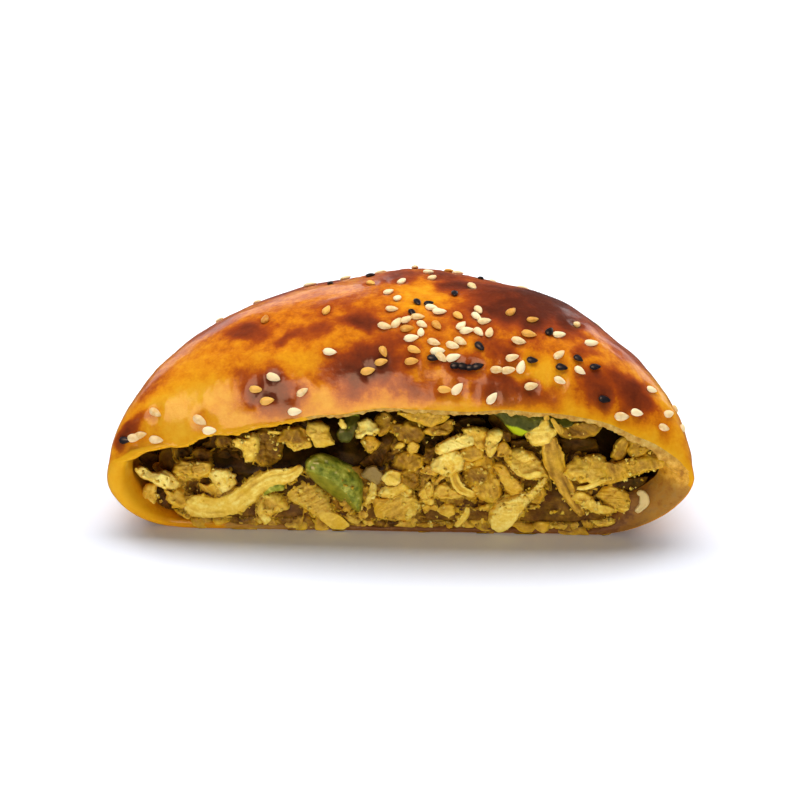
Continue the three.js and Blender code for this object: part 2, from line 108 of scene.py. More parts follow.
def top_height(x, depth):
    low = widest_height(x)
    span = np.sqrt(np.maximum(0, 1 - (depth / DEPTH) ** 2))
    fullness = mix(FULL_LEFT, FULL_RIGHT, rightness(x))
    fall = (1 - outward(x, depth) ** DOME_POWER) ** (1 / fullness)
    dome = (DOME_HEIGHT + DOME_TILT * x - low) * fall
    across = np.clip(x / np.maximum(span, 1e-6), -HALF_WIDTH, HALF_WIDTH)
    edge = (CUT_CREST - low) * edge_arch(across) * span
    droop = mix(DROOP_MIDDLE, DROOP_ENDS, (across / HALF_WIDTH) ** 2)
    return low + mix(dome, edge, np.exp(-depth / droop)) + swell(x, depth)


def bottom_height(x, depth):
    sides = mix(FLAT_LEFT, FLAT_RIGHT, rightness(x))
    flat = mix(sides, FLAT_BACK, (depth / DEPTH) ** 2)
    away = np.maximum(0, (outward(x, depth) - flat) / (1 - flat))
    return widest_height(x) * (1 - (1 - away**HEEL_POWER) ** (1 / HEEL_POWER))


def skin(angle, sweep):
    """The outer face. angle goes from the left end over the top to the right end and back below."""
    depth = DEPTH * np.sin(sweep)
    x = -HALF_WIDTH * np.cos(angle) * np.cos(sweep)
    height = np.where(np.sin(angle) > 0, top_height(x, depth), bottom_height(x, depth))
    return np.stack([x, CUT_Y + depth, height], axis=-1)


def inside(angle, sweep, further):
    """The dough's inner face, or a face further in."""
    x, y, z = np.moveaxis(skin(angle, sweep), -1, 0)
    depth = y - CUT_Y
    side = WALL_SIDE + further
    base = WALL_BASE + further
    crest = top_height(np.zeros_like(depth), depth)
    height = base + (z / crest) * (crest - WALL_TOP - further - base)
    shrunk = [x * (1 - side / HALF_WIDTH), CUT_Y + depth * (1 - side / DEPTH), height]
    return np.stack(shrunk, axis=-1)


def grain(points, size, seed, stretch=(1, 1, 1)):
    """Smooth random values, about -1 to 1, that change over size millimetres."""
    at = np.asarray(points, float) / (size * np.array(stretch, float)) + 31.7 * seed
    cell = np.floor(at).astype(np.int64)
    part = at - cell
    fade = part**3 * (part * (part * 6 - 15) + 10)
    total = np.zeros(at.shape[:-1])
    for corner in np.ndindex(2, 2, 2):
        near = cell + corner
        mixed = (near[..., 0] * 73856093) ^ (near[..., 1] * 19349663) ^ (near[..., 2] * 83492791)
        mixed = (mixed ^ (mixed >> 13)) * 1274126177 & 0xFFFFFFFF
        slope = np.stack([(mixed >> shift & 1023) / 511.5 - 1 for shift in (2, 12, 22)], -1)
        share = np.prod(np.where(corner, fade, 1 - fade), axis=-1)
        total += share * np.sum(slope * (part - corner), axis=-1)
    return 1.5 * total


def lumps(points, size, seed):
    """0 in the middle of each rounded lump, up to about 1 in the creases between them."""
    at = np.asarray(points, float) / size + 17.3 * seed
    cell = np.floor(at).astype(np.int64)
    nearest = np.full(at.shape[:-1], 9.0)
    for corner in np.ndindex(3, 3, 3):
        near = cell + np.array(corner) - 1
        mixed = (near[..., 0] * 73856093) ^ (near[..., 1] * 19349663) ^ (near[..., 2] * 83492791)
        mixed = (mixed ^ (mixed >> 15)) * 2246822519 & 0xFFFFFFFF
        middle = near + np.stack([(mixed >> shift & 1023) / 1023 for shift in (2, 12, 22)], -1)
        nearest = np.minimum(nearest, np.sum((middle - at) ** 2, axis=-1))
    return np.sqrt(nearest)


# Browner places on the top: x, depth, half length, half width, turn in degrees, strength.
BROWNED = [
    (25, 23, 8.5, 6, -20, 1.0), (31, 32, 8, 9, 0, 1.0), (20, 31, 7, 7, 0, 0.6),
    (36, 24, 4, 8, 10, 0.7), (21, 10.5, 4.5, 2.4, -10, 0.6), (12, 35.5, 4.5, 3, 20, 0.75),
    (9, 43, 5, 4.5, 0, 0.6), (-1.5, 41, 4.5, 5.5, 0, 0.6), (-7.5, 7.6, 9.5, 4.4, 5, 1.08),
    (-3, 12.5, 6, 2.2, 10, 0.45), (-27.5, 5, 8.5, 3.6, -22, 0.95), (-8.5, 18.7, 4.8, 2.8, -20, 0.85),
    (-34, 20.4, 5, 3, -40, 0.6), (-23.5, 15.8, 5.2, 2.2, 12, 0.6), (-17, 17.6, 3, 2, 30, 0.4),
    (13, 7, 6, 2.6, 0, 0.5), (24, 3, 9, 2.1, 0, 0.75), (4, 4.2, 6, 2.4, 0, 0.6),
    (50, 6.4, 6, 3.8, -25, 0.95), (42.5, 5.4, 4.6, 3.6, 0, 0.8), (39.6, 12.4, 3.4, 2, 0, 0.45),
    (-42, 28, 6, 4.5, 0, 0.35), (-58.4, 4.4, 3.2, 2, 20, 0.85), (-54, 12, 3.4, 3.4, 0, 0.35),
    (-14, 27, 8, 4, 20, 0.25), (-10, 11, 6, 2, 0, 0.3), (30, 13, 5, 2, 0, 0.25),
    (43, 34, 4, 6, 0, 0.5), (8, 58, 13, 8, 0, 0.75), (-18, 52, 8, 6, 30, 0.5),
    (-30, 44, 7, 5, 0, 0.45), (34, 50, 8, 6, -30, 0.7), (22, 52, 5, 4, 0, 0.4),
    (-8, 66, 8, 4, 0, 0.4), (16, 68, 6, 3, 0, 0.3), (48, 20, 3, 6, 0, 0.2),
]
# Paler, golden places, in the same way.
GOLDEN = [
    (5, 28, 6, 8, 0, 0.55), (43, 19, 4, 8, 10, 0.35), (-46, 5, 11, 5, 0, 0.5),
    (29, 6.2, 6, 2, 0, 0.45), (33.5, 13.5, 5, 2, 10, 0.3), (-44, 14, 9, 6, 0, 0.2),
    (-18, 2.2, 5, 2.4, 0, 0.4), (57, 10, 5, 9, 0, 0.35), (10, 5.2, 5, 1.3, 0, 0.3),
    (-13, 32, 4, 4, 0, 0.25), (-30, 58, 9, 7, 0, 0.4), (42, 58, 8, 8, 0, 0.4),
]

AROUND = 800
TOPSIDE_SHARE = 0.7  # of the steps around, those that run over the top
OUTER_ROWS = 88
LIP_ROWS = 9
INNER_ROWS = 14
ROW_CROWDING = 1.45
LIP_ROUND = 1.1  # how far the folded left end rounds back from the cut
LIP_BULGE = 0.25
TEAR_FIRM, TEAR_SOFT = 0.06, 0.16
SLANT_LEFT, SLANT_RIGHT = 2.2, 4.6  # how much thicker the dough is a little way in at the ends


def spots(places, x, depth):
    total = np.zeros_like(x)
    for at_x, at_depth, long, wide, turn, strength in places:
        turned = math.radians(turn)
        dx, dy = x - at_x, depth - at_depth
        along = (dx * math.cos(turned) + dy * math.sin(turned)) / long
        across = (dy * math.cos(turned) - dx * math.sin(turned)) / wide
        total = np.maximum(total, strength * np.exp(-((along**2 + across**2) ** 1.5)))
    return total


def left_fold(x):
    """1 at the left end, where the dough is folded over and not cut."""
    return ease(-46, -55, x)


def tear(angle):
    upper_left = np.maximum(0, np.sin(angle)) * ease(0.9, 0.1, angle / np.pi - 0.15)
    crumb = np.sin(9 * angle + 1) + 0.7 * np.sin(17 * angle) + 0.5 * np.sin(29 * angle + 2)
    return (TEAR_FIRM + TEAR_SOFT * upper_left) * (crumb + 1.5)


def baked_relief(points, x, depth):
    """How far baking has raised or sunk the egg-washed face, in millimetres."""
    soft = 0.26 * grain(points, 9, 1) + 0.12 * grain(points, 3.4, 2, (1.6, 1, 1))
    fine = 0.03 * grain(points, 1.3, 3) + 0.012 * grain(points, 0.6, 4)
    blister = 0.1 * ease(0.35, 0.9, grain(points, 2.6, 5)) * ease(0.2, 0.6, grain(points, 16, 6))
    return soft + fine + blister


def make_mesh(name, points, faces, marks=None):
    """A mesh piece from points in millimetres; marks are named numbers of its points."""
    mesh = bpy.data.meshes.new(name)
    mesh.from_pydata(np.asarray(points) * 0.001, [], faces)
    for mark, values in (marks or {}).items():
        layer = mesh.attributes.new(mark, "FLOAT", "POINT")
        layer.data.foreach_set("value", np.asarray(values, np.float32))
    piece = bpy.data.objects.new(name, mesh)
    bpy.context.scene.collection.objects.link(piece)
    mesh.shade_smooth()
    return piece


rows = []
for i in range(OUTER_ROWS, -1, -1):
    rows.append(("skin", 0.5 * math.pi * (i / OUTER_ROWS) ** ROW_CROWDING))
for i in range(1, LIP_ROWS):
    rows.append(("lip", i / LIP_ROWS))
for i in range(INNER_ROWS + 1):
    rows.append(("inner", 0.5 * math.pi * (i / INNER_ROWS) ** 1.7))

bpy.ops.mesh.primitive_grid_add(x_subdivisions=AROUND, y_subdivisions=len(rows) - 1, size=2)
crust = bpy.context.object
crust.name = crust.data.name = "crust"
flat = np.zeros(len(crust.data.vertices) * 3)
crust.data.vertices.foreach_get("co", flat)
flat = flat.reshape(-1, 3)
step_at = (flat[:, 0] + 1) / 2
angle = np.pi * np.interp(step_at, [0, TOPSIDE_SHARE, 1], [0, 1, 2])
angle[step_at > 1 - 1e-6] = 0
row_at = np.round((flat[:, 1] + 1) / 2 * (len(rows) - 1)).astype(int)

# The cut edge is ragged, and the wall there is thicker and thinner from place to place:
# rolled to a thin fringe on the upper left and worn thin below.
edge_x = -HALF_WIDTH * np.cos(angle)
round_way = np.stack([edge_x, 20 * np.sin(angle), 0 * angle], -1)
upper = ease(0.0, 0.2, np.sin(angle))
lower = ease(0.0, 0.2, -np.sin(angle))
ragged = 0.5 * grain(round_way, 2.6, 7) + 0.4 * grain(round_way, 1.2, 8) + 0.2 * grain(round_way, 0.6, 14)
fringe = ease(-52, -42, edge_x) * ease(9, -4, edge_x)
right_end = ease(50, 60, edge_x)
crest = ease(-4, 9, edge_x) * ease(58, 48, edge_x)
thinner = -upper * (1.15 * fringe + 0.75 * crest + 0.6 * right_end) - lower * 0.6 * ease(-50, -30, edge_x)
fold = left_fold(edge_x)
thick_left = fold * ease(-0.75, 0.1, np.sin(angle))
thick_right = ease(46, 56, edge_x) * ease(-0.95, -0.5, np.sin(angle)) * ease(0.75, 0.2, np.sin(angle))
thinner = thinner * (1 - thick_right) + 1.0 * thick_left

points = np.zeros_like(flat)
kinds = np.array([("skin", "lip", "inner").index(kind) for kind, _ in rows])[row_at]
amounts = np.array([amount for _, amount in rows])[row_at]

on_skin, on_lip, on_inner = kinds == 0, kinds == 1, kinds == 2
lip_back = tear(angle) + LIP_ROUND * fold
lip_sweep = lip_back / DEPTH


def edge_wall(angle, sweep, near):
    """The inner face, with the ragged thickness of the cut edge fading out over near."""
    uneven = (0.3 + 0.9 * upper) * (1 - fold) * ragged
    far = (sweep - lip_sweep) * DEPTH
    slanted = ease(-0.5, 3.5, far) * np.exp(-np.maximum(0, far - 3.5) / 6)
    thick_ends = SLANT_LEFT * thick_left + SLANT_RIGHT * thick_right
    return inside(angle, sweep, near * np.clip(thinner + uneven, -1.35, 2.4) + slanted * thick_ends)


sweep = np.where(on_skin, np.maximum(amounts, lip_sweep), np.maximum(amounts, 1.2 * lip_sweep))
outer = skin(angle, sweep)
near_cut = np.exp(-(sweep - lip_sweep) * DEPTH / 2.2)
inner = edge_wall(angle, sweep, near_cut)
points[on_skin] = outer[on_skin]
points[on_inner] = inner[on_inner]

lip_outer = skin(angle, lip_sweep)
lip_inner = edge_wall(angle, 1.2 * lip_sweep, np.ones_like(angle))
lip = mix(lip_outer, lip_inner, amounts[:, None])
arch = np.sin(np.pi * np.where(on_lip, amounts, 0)) ** 0.6
lip[:, 1] -= arch * mix(LIP_BULGE, LIP_ROUND + 0.1, fold)
points[on_lip] = lip[on_lip]

depth = points[:, 1] - CUT_Y
along = skin(angle + 0.01, sweep) - skin(angle - 0.01, sweep)
back = skin(angle, sweep + 0.01) - skin(angle, np.maximum(sweep - 0.01, 0))
normal = np.cross(along, back)
normal /= np.maximum(np.linalg.norm(normal, axis=1, keepdims=True), 1e-9)

# Seeds lie in shallow dimples, so their places come first: x, depth and turn in degrees,
# those on the side towards the cut and then those behind.
SESAME = [
    (-57.2, 2.4, 15), (-55.8, 2.5, 20), (-52.7, 5, -45), (-52.3, 1.5, -10), (-42.8, 2.5, -50),
    (-40.6, 0.9, 0), (-27.1, 7, -30), (-22.2, 1.2, 5), (-20.7, 4, 45), (-15.2, 11.3, -10),
    (-3.6, 16.6, -15), (-3.2, 29.8, 50), (-2.2, 22, 5), (-1.1, 26.6, 70), (-1, 17.5, 60),
    (-0.5, 36.5, 60), (1.1, 18.5, 45), (2.3, 13.2, 10), (3.5, 19.4, 0), (4.3, 14.8, 90),
    (4.5, 17, -45), (5.4, 43.2, 45), (6.3, 39, 60), (6.5, 22.8, -20), (7.2, 12.2, -20),
    (8, 10.2, 0), (8.2, 21.3, 10), (8.8, 8.9, -50), (11.2, 11.4, -25), (11.4, 8.8, 20),
    (12.4, 3.2, 60), (12.9, 12.3, -40), (13, 16.5, 60), (14.2, 15, 0), (15.3, 34.3, -65),
    (16.3, 19.3, -50), (16.7, 21.8, -70), (16.8, 14.5, -55), (18, 17.7, 20), (19.1, 14.3, 80),
    (19.8, 1.8, 60), (20.8, 6.4, -5), (23.2, 6.4, 15), (24, 8.8, 20), (25.4, 12.6, -5),
    (25.9, 7.1, 80), (28.1, 3.9, 20), (34.1, 10.4, 50), (34.2, 5.2, -30), (34.2, 16, 20),
    (38.3, 22.2, 70), (38.5, 7.4, -40), (41.2, 15.5, 20), (47.4, 1.5, 5), (50.7, 2.8, -10),
    (54.2, 9, 15), (56.6, 2.5, -10), (57.8, 5.7, 35), (59.6, 12, 80), (61, 6.7, 70), (-42, 38, -40),
    (-34, 46, 75), (-30, 56, 10), (-22, 47, -10), (-14, 52, 40), (-12, 62, 100), (-6, 53, -20),
    (-2, 60, 60), (2, 50, 110), (5, 65, 20), (8, 56, 0), (12, 48, 30), (14, 68, 85), (15, 60, -50),
    (20, 52, 70), (22, 64, -30), (27, 46, 15), (30, 56, -70), (38, 48, 55), (44, 40, -15),
]
TOASTED_SESAME = [
    (-30.8, 5.4, -12), (-30.2, 23.8, 80), (-28.3, 3.3, 10), (-16.6, 23.7, 70), (-7.4, 36.7, -60),
    (-6.8, 6.6, 15), (-4, 8, 10), (-3.6, 10.1, -70), (1.3, 15.8, 10), (2.5, 8, 5), (3, 10.4, -25),
    (7.7, 16.7, -60), (9.7, 3.1, 0), (12.3, 19.7, -55), (23.8, 21.7, 60), (27.6, 14.8, -10),
    (28.5, 19.7, 20), (-18, 58, 60), (10, 50, -60), (25, 58, 20),
]
NIGELLA = [
    (-59.3, 2.5, -5), (-17, 43.3, -70), (2.3, 20.8, -60), (3.3, 25, -65), (5.8, 24.7, 20),
    (7, 8.7, -15), (11.4, 30, -85), (12, 7.2, 10), (13.7, 7, -10), (15.2, 6.8, 0), (16.6, 7, 15),
    (17, 11, -55), (17.2, 45, 85), (28.3, 8.6, -8), (32.1, 16.5, 70), (34.6, 7.7, -15),
    (38.2, 10, -35), (41.8, 8.7, 5), (43.7, 3.2, -10), (-8, 47, 30), (0, 69, 10), (18, 56, -45),
    (34, 50, 80),
]

DIMPLE = 0.22
relief = baked_relief(points, points[:, 0], depth)
pooled = np.zeros(len(points))  # egg that has run together round the seeds
topside = on_skin & (np.sin(angle) > 0)
for sx, sd, _ in SESAME + TOASTED_SESAME + NIGELLA:
    near = np.hypot(points[:, 0] - sx, depth - sd)
    relief -= np.where(topside, DIMPLE * np.exp(-((near / 1.5) ** 2)), 0)
    relief += np.where(topside, 0.09 * np.exp(-(((near - 2.3) / 0.8) ** 2)), 0)
    pooled = np.maximum(pooled, np.exp(-((near / 1.9) ** 4)))
steady = np.where(on_skin, ease(0, 0.6, points[:, 2]) * ease(0.3, 2.5, depth), 0)
inset = 0.2  # keeps the raised places inside the plain form
points += normal * (steady * (relief - inset))[:, None]
rough = on_lip | (on_inner & (depth < 6))
crumbly = 0.16 * grain(points, 0.9, 9) + 0.1 * grain(points, 0.45, 10) - 0.1 * (1 - lumps(points, 1.3, 3))
face_out = np.where(rough, crumbly * (1 - fold) * ease(0, 1.2, points[:, 2]), 0)
points[:, 1] -= face_out * 0.8
points[:, 2] += np.where(rough, face_out * 0.6, 0)
points[:, 1] = np.maximum(points[:, 1], CUT_Y - 0.28)
points[:, 2] = np.maximum(points[:, 2], 0)

crust.data.vertices.foreach_set("co", (points * 0.001).ravel())

x = points[:, 0]
height_share = points[:, 2] / np.maximum(top_height(np.zeros_like(depth), np.clip(depth, 0, DEPTH)), 1)
drift = 0.5 * grain(points, 6, 11) + 0.3 * grain(points, 2.2, 12, (1.5, 1, 1)) + 0.2 * grain(points, 0.9, 13)
bent_x = x + 2.0 * grain(points, 7, 31) + 1.1 * grain(points, 2.6, 32)
bent_depth = depth + 2.0 * grain(points, 7, 33) + 1.1 * grain(points, 2.6, 34)
browning_and_shade = spots(BROWNED, bent_x, bent_depth) - 0.55 * spots(GOLDEN, bent_x, bent_depth)
browning_and_shade = 0.28 + 0.62 * browning_and_shade + 0.15 * drift + 0.12 * ease(8, 20, bent_depth)
browning_and_shade += 0.13 * ease(0, 20, bent_x) * ease(9, 22, bent_depth) * ease(60, 48, bent_x)
side_pale = ease(0.45, 0.15, height_share) * 0.24
browning_and_shade = browning_and_shade - side_pale
underside = 0.34 + 0.1 * drift
towards_base = ease(7, 0, points[:, 2] - widest_height(x)) * ease(8, 30, depth)
browning_and_shade = mix(browning_and_shade, underside, towards_base)
browning_and_shade = np.where(np.sin(angle) > 0, browning_and_shade, underside)
edge_pale = np.exp(-depth / 1.2) * 0.12 * ease(0, 0.3, np.sin(angle))
browning_and_shade = np.clip(browning_and_shade - edge_pale + 0.1 * pooled, 0, 1)
# On the lip and inner faces the dough darkens further in from the cut: painted shade inside the shell.
lip_tone_and_shade = 0.12 + 0.12 * drift + 0.3 * ease(0.5, 9, depth) * ease(-50, -30, x)
# The lower lip darkens from the left end inwards, to meet the soaked crumb beside it: partly painted shade
# low by the table.
lip_tone_and_shade += 0.42 * lower * ease(-62, -40, x)
browning_and_shade = np.where(on_skin, browning_and_shade, lip_tone_and_shade)
yellow = np.where(on_skin, ease(0.42, 0.12, height_share), mix(0.9, 0.15, ease(0, 6, depth)))
yellow = np.maximum(yellow, 0.7 * on_skin * np.exp(-depth / 0.9))
torn_crumb = ease(-24, -16, x + 2 * drift) * ease(63.3, 61.8, x + drift)
soaked = lower * mix(0.45, 1, ease(-38, -12, x + 6 * drift)) * mix(1, 0.55, ease(46, 56, x))
crumb_here = np.where(on_skin, 0, np.maximum(torn_crumb, lower * ease(-41, -31, x + 9 * drift)))
moist = np.maximum(ease(44, 53, x) * ease(22, 16, points[:, 2]), 0.8 * lower * ease(-16, -36, x))
for mark, values in {"browning_and_shade": browning_and_shade, "yellow": yellow, "crumb": crumb_here,
                     "soaked": soaked, "moist": moist}.items():
    layer = crust.data.attributes.new(mark, "FLOAT", "POINT")
    layer.data.foreach_set("value", values.astype(np.float32))

bpy.ops.object.mode_set(mode="EDIT")
bpy.ops.mesh.select_all(action="SELECT")
bpy.ops.mesh.remove_doubles(threshold=1e-7)
bpy.ops.object.mode_set(mode="OBJECT")
crust.data.shade_smooth()


def volume_of(mesh):
    corners = np.zeros(len(mesh.vertices) * 3)
    mesh.vertices.foreach_get("co", corners)
    corners = corners.reshape(-1, 3)
    mesh.calc_loop_triangles()
    thirds = np.zeros(len(mesh.loop_triangles) * 3, np.int32)
    mesh.loop_triangles.foreach_get("vertices", thirds)
    a, b, c = corners[thirds.reshape(-1, 3)].transpose(1, 0, 2)
    return float(np.sum(a * np.cross(b, c))) / 6


if volume_of(crust.data) < 0:
    bpy.ops.object.mode_set(mode="EDIT")
    bpy.ops.mesh.select_all(action="SELECT")
    bpy.ops.mesh.flip_normals()
    bpy.ops.object.mode_set(mode="OBJECT")
bpy.ops.object.select_all(action="DESELECT")


def linear(hex_colour, alpha=1):
    """An sRGB hex colour as the linear values that Blender takes."""
    parts = [int(hex_colour[i : i + 2], 16) / 255 for i in (0, 2, 4)]
    bent = [p / 12.92 if p <= 0.04045 else ((p + 0.055) / 1.055) ** 2.4 for p in parts]
    return (*bent, alpha)


def add(material, kind, inputs=None, stops=None, **settings):
    """Adds a node: its settings, then its inputs, each a value or a socket to link."""
    made = material.node_tree.nodes.new(kind)
    for name, value in settings.items():
        setattr(made, name, value)
    for name, value in (inputs or {}).items():
        if isinstance(value, bpy.types.NodeSocket):
            material.node_tree.links.new(value, made.inputs[name])
        else:
            made.inputs[name].default_value = value
    for i, (place, colour) in enumerate(stops or []):
        stop = made.color_ramp.elements[i] if i < 2 else made.color_ramp.elements.new(place)
        stop.position = place
        stop.color = linear(colour)
    return made


def new_material(name):
    material = bpy.data.materials.new(name)
    material.use_nodes = True
    material.node_tree.nodes.clear()
    return material


def finish(material, surface):
    add(material, "ShaderNodeOutputMaterial", {"Surface": surface.outputs[0]})
    return material


# Egg-washed crust: egg brushed on before baking sets to a glossy film that browns from
# gold to mahogany where the dough blisters, with fine pores and wrinkles in the gloss.
egg_wash = new_material("egg_washed_crust")
place = add(egg_wash, "ShaderNodeTexCoord").outputs["Object"]
mottle = add(egg_wash, "ShaderNodeTexNoise",
             {"Vector": place, "Scale": 1 / 0.0022, "Detail": 5, "Roughness": 0.62})
fleck = add(egg_wash, "ShaderNodeTexNoise",
            {"Vector": place, "Scale": 1 / 0.0006, "Detail": 3, "Roughness": 0.6})
# This mark is the crust's own baked colour, and painted shade on the lip and inner faces.
browned_and_shaded = add(egg_wash, "ShaderNodeAttribute", attribute_name="browning_and_shade").outputs["Fac"]
shifted = add(egg_wash, "ShaderNodeMath",
              {0: mottle.outputs["Fac"], 1: 0.44, 2: -0.22}, operation="MULTIPLY_ADD")
flecked = add(egg_wash, "ShaderNodeMath",
              {0: fleck.outputs["Fac"], 1: 0.2, 2: -0.1}, operation="MULTIPLY_ADD")
summed = add(egg_wash, "ShaderNodeMath", {0: browned_and_shaded, 1: shifted.outputs[0]})
depth_of_bake = add(egg_wash, "ShaderNodeMath", {0: summed.outputs[0], 1: flecked.outputs[0]})
bake = add(egg_wash, "ShaderNodeValToRGB", {"Fac": depth_of_bake.outputs[0]},
           stops=[(0.0, "E8AC28"), (1.0, "54200E"), (0.2, "E09612"), (0.36, "CE7408"),
                  (0.5, "A84A08"), (0.64, "8E380E"), (0.8, "742C10")])
paler = add(egg_wash, "ShaderNodeAttribute", attribute_name="yellow").outputs["Fac"]
side = add(egg_wash, "ShaderNodeMix",
           {"Factor": add(egg_wash, "ShaderNodeMath", {0: paler, 1: 0.55}, operation="MULTIPLY").outputs[0],
            "A": bake.outputs["Color"], "B": linear("E2A60A")}, data_type="RGBA")
pore = add(egg_wash, "ShaderNodeTexNoise",
           {"Vector": place, "Scale": 1 / 0.0009, "Detail": 4, "Roughness": 0.6})
pore_bump = add(egg_wash, "ShaderNodeBump",
                {"Height": pore.outputs["Fac"], "Strength": 0.45, "Distance": 0.0002})
film_bump = add(egg_wash, "ShaderNodeBump",
                {"Height": pore.outputs["Fac"], "Strength": 0.2, "Distance": 0.0002})
gloss = add(egg_wash, "ShaderNodeMapRange",
            {"Value": mottle.outputs["Fac"], "From Min": 0.3, "From Max": 0.7, "To Min": 0.36, "To Max": 0.5})
crust_surface = add(egg_wash, "ShaderNodeBsdfPrincipled", {
    "Base Color": side.outputs["Result"], "Roughness": gloss.outputs[0],
    "Normal": pore_bump.outputs[0], "Specular IOR Level": 0.1,
    "Coat Weight": 0.6, "Coat Roughness": 0.07, "Coat IOR": 1.45,
    "Coat Normal": film_bump.outputs[0], "Subsurface Weight": 0.12, "Subsurface Scale": 0.001,
    "Subsurface Radius": (1.6, 0.7, 0.25),
})
finish(egg_wash, crust_surface)

# Bread crumb: the torn inside of the dough, open-textured, pale and a little oily from
# the filling, darker and yellower further in.
crumb = new_material("oily_bread_crumb")
place = add(crumb, "ShaderNodeTexCoord").outputs["Object"]
cells = add(crumb, "ShaderNodeTexNoise",
            {"Vector": place, "Scale": 1 / 0.0014, "Detail": 5, "Roughness": 0.65})
crumb_colour = add(crumb, "ShaderNodeValToRGB", {"Fac": cells.outputs["Fac"]},
                   stops=[(0.28, "9A6A1A"), (0.72, "E0C070"), (0.42, "B8862A"), (0.56, "CCA448")])
far = add(crumb, "ShaderNodeSeparateXYZ", {"Vector": place}).outputs["Y"]
oil = add(crumb, "ShaderNodeMapRange",
          {"Value": far, "From Min": 0.001 * CUT_Y, "From Max": 0.001 * (CUT_Y + 5),
           "To Min": 0.1, "To Max": 0.6})
oiled = add(crumb, "ShaderNodeMix",
            {"Factor": oil.outputs[0], "A": crumb_colour.outputs["Color"], "B": linear("C4861C")},
            data_type="RGBA")
wet = add(crumb, "ShaderNodeAttribute", attribute_name="moist").outputs["Fac"]
dough_colour = add(crumb, "ShaderNodeValToRGB", {"Fac": cells.outputs["Fac"]},
                   stops=[(0.3, "A86808"), (0.7, "F4C050"), (0.5, "DA9C24")])
doughy = add(crumb, "ShaderNodeMix",
             {"Factor": wet, "A": oiled.outputs["Result"], "B": dough_colour.outputs["Color"]},
             data_type="RGBA")
juicy = add(crumb, "ShaderNodeAttribute", attribute_name="soaked").outputs["Fac"]
juice = add(crumb, "ShaderNodeMath", {0: juicy, 1: cells.outputs["Fac"]}, operation="MULTIPLY")
browned_base = add(crumb, "ShaderNodeMix",
                   {"Factor": add(crumb, "ShaderNodeMath", {0: juice.outputs[0], 1: 2.05},
                                  operation="MULTIPLY", use_clamp=True).outputs[0],
                    "A": doughy.outputs["Result"], "B": linear("6E3F14")}, data_type="RGBA")
cell_bump = add(crumb, "ShaderNodeBump",
                {"Height": cells.outputs["Fac"], "Strength": 0.6, "Distance": 0.0004})
crumb_surface = add(crumb, "ShaderNodeBsdfPrincipled", {
    "Base Color": browned_base.outputs["Result"], "Roughness": 0.5, "Normal": cell_bump.outputs[0],
    "Subsurface Weight": 0.25, "Subsurface Scale": 0.0012, "Subsurface Radius": (1.4, 0.8, 0.3),
})
finish(crumb, crumb_surface)

crust.data.materials.clear()
crust.data.materials.append(egg_wash)
crust.data.materials.append(crumb)
marks = np.zeros(len(crust.data.vertices), np.float32)
crust.data.attributes["crumb"].data.foreach_get("value", marks)
slots = [int(np.mean(marks[list(face.vertices)]) > 0.5) for face in crust.data.polygons]
crust.data.polygons.foreach_set("material_index", slots)

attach(crust, "root")
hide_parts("crust")

# ---- Seeds ---------------------------------------------------------------------------
# Hulled white sesame, some of it toasted golden, and black nigella, strewn by hand on
# the egg wash before baking, which glues them down.

SEED_LENGTH, SEED_WIDTH = 3.2, 1.9
BLACK_SEED_LENGTH, BLACK_SEED_WIDTH = 2.7, 1.7


def teardrop(rings=9, sides=12):
    """One seed lying along x, 1 long and 1 wide, its thick end at -x."""
    points = [(-0.5, 0, 0)]
    for i in range(1, rings):
        along = i / rings
        wide = 0.52 * math.sin(math.pi * along**0.82) ** 0.62 * (1 - 0.22 * along)
        for k in range(sides):
            turn = 2 * math.pi * k / sides
            points.append((along - 0.5, wide * math.cos(turn), wide * math.sin(turn)))
    points.append((0.5, 0, 0))
    faces = []
    for k in range(sides):
        after = (k + 1) % sides
        faces.append((0, 1 + after, 1 + k))
        for i in range(rings - 2):
            a, b = 1 + i * sides, 1 + (i + 1) * sides
            faces.append((a + k, a + after, b + after, b + k))
        last = 1 + (rings - 2) * sides
        faces.append((last + k, last + after, len(points) - 1))
    return np.array(points), faces


def surface_normal(x, depth):
    step = 0.2
    x, depth = np.array(x, float), np.array(depth, float)
    along_x = (top_height(x + step, depth) - top_height(x - step, depth)) / (2 * step)
    along_y = (top_height(x, depth + step) - top_height(x, depth - step)) / (2 * step)
    normal = np.array([-along_x, -along_y, 1.0])
    return normal / np.linalg.norm(normal)


def strew(name, places, length, width, seed):
    draws = np.random.default_rng(seed)
    blank, blank_faces = teardrop()
    all_points, all_faces, tones = [], [], []
    for x, depth, turn in places:
        size = draws.uniform(0.88, 1.08)
        normal = surface_normal(x, depth)
        turned = math.radians(turn)
        long = np.array([math.cos(turned), math.sin(turned), 0.0])
        long -= normal * long.dot(normal)
        long /= np.linalg.norm(long)
        wide = np.cross(normal, long)
        middle = np.array([x, CUT_Y + depth, float(top_height(np.array(x), np.array(depth)))])
        middle += normal * 0.02
        tilt = draws.uniform(-0.12, 0.12)
        shape = blank * (length * size, width * size, width * size * 0.62)
        shape[:, 2] += shape[:, 0] * tilt
        bent = shape + 0.05 * grain(shape + 9 * len(all_points), 1.1, seed)[:, None]
        base = len(all_points) * len(blank)
        all_points.append(middle + bent @ np.array([long, wide, normal]))
        all_faces += [tuple(base + v for v in face) for face in blank_faces]
        tones.append(np.full(len(blank), draws.uniform(0, 1)))
    tone = np.concatenate(tones)
    return make_mesh(name, np.concatenate(all_points), all_faces, {"tone": tone})


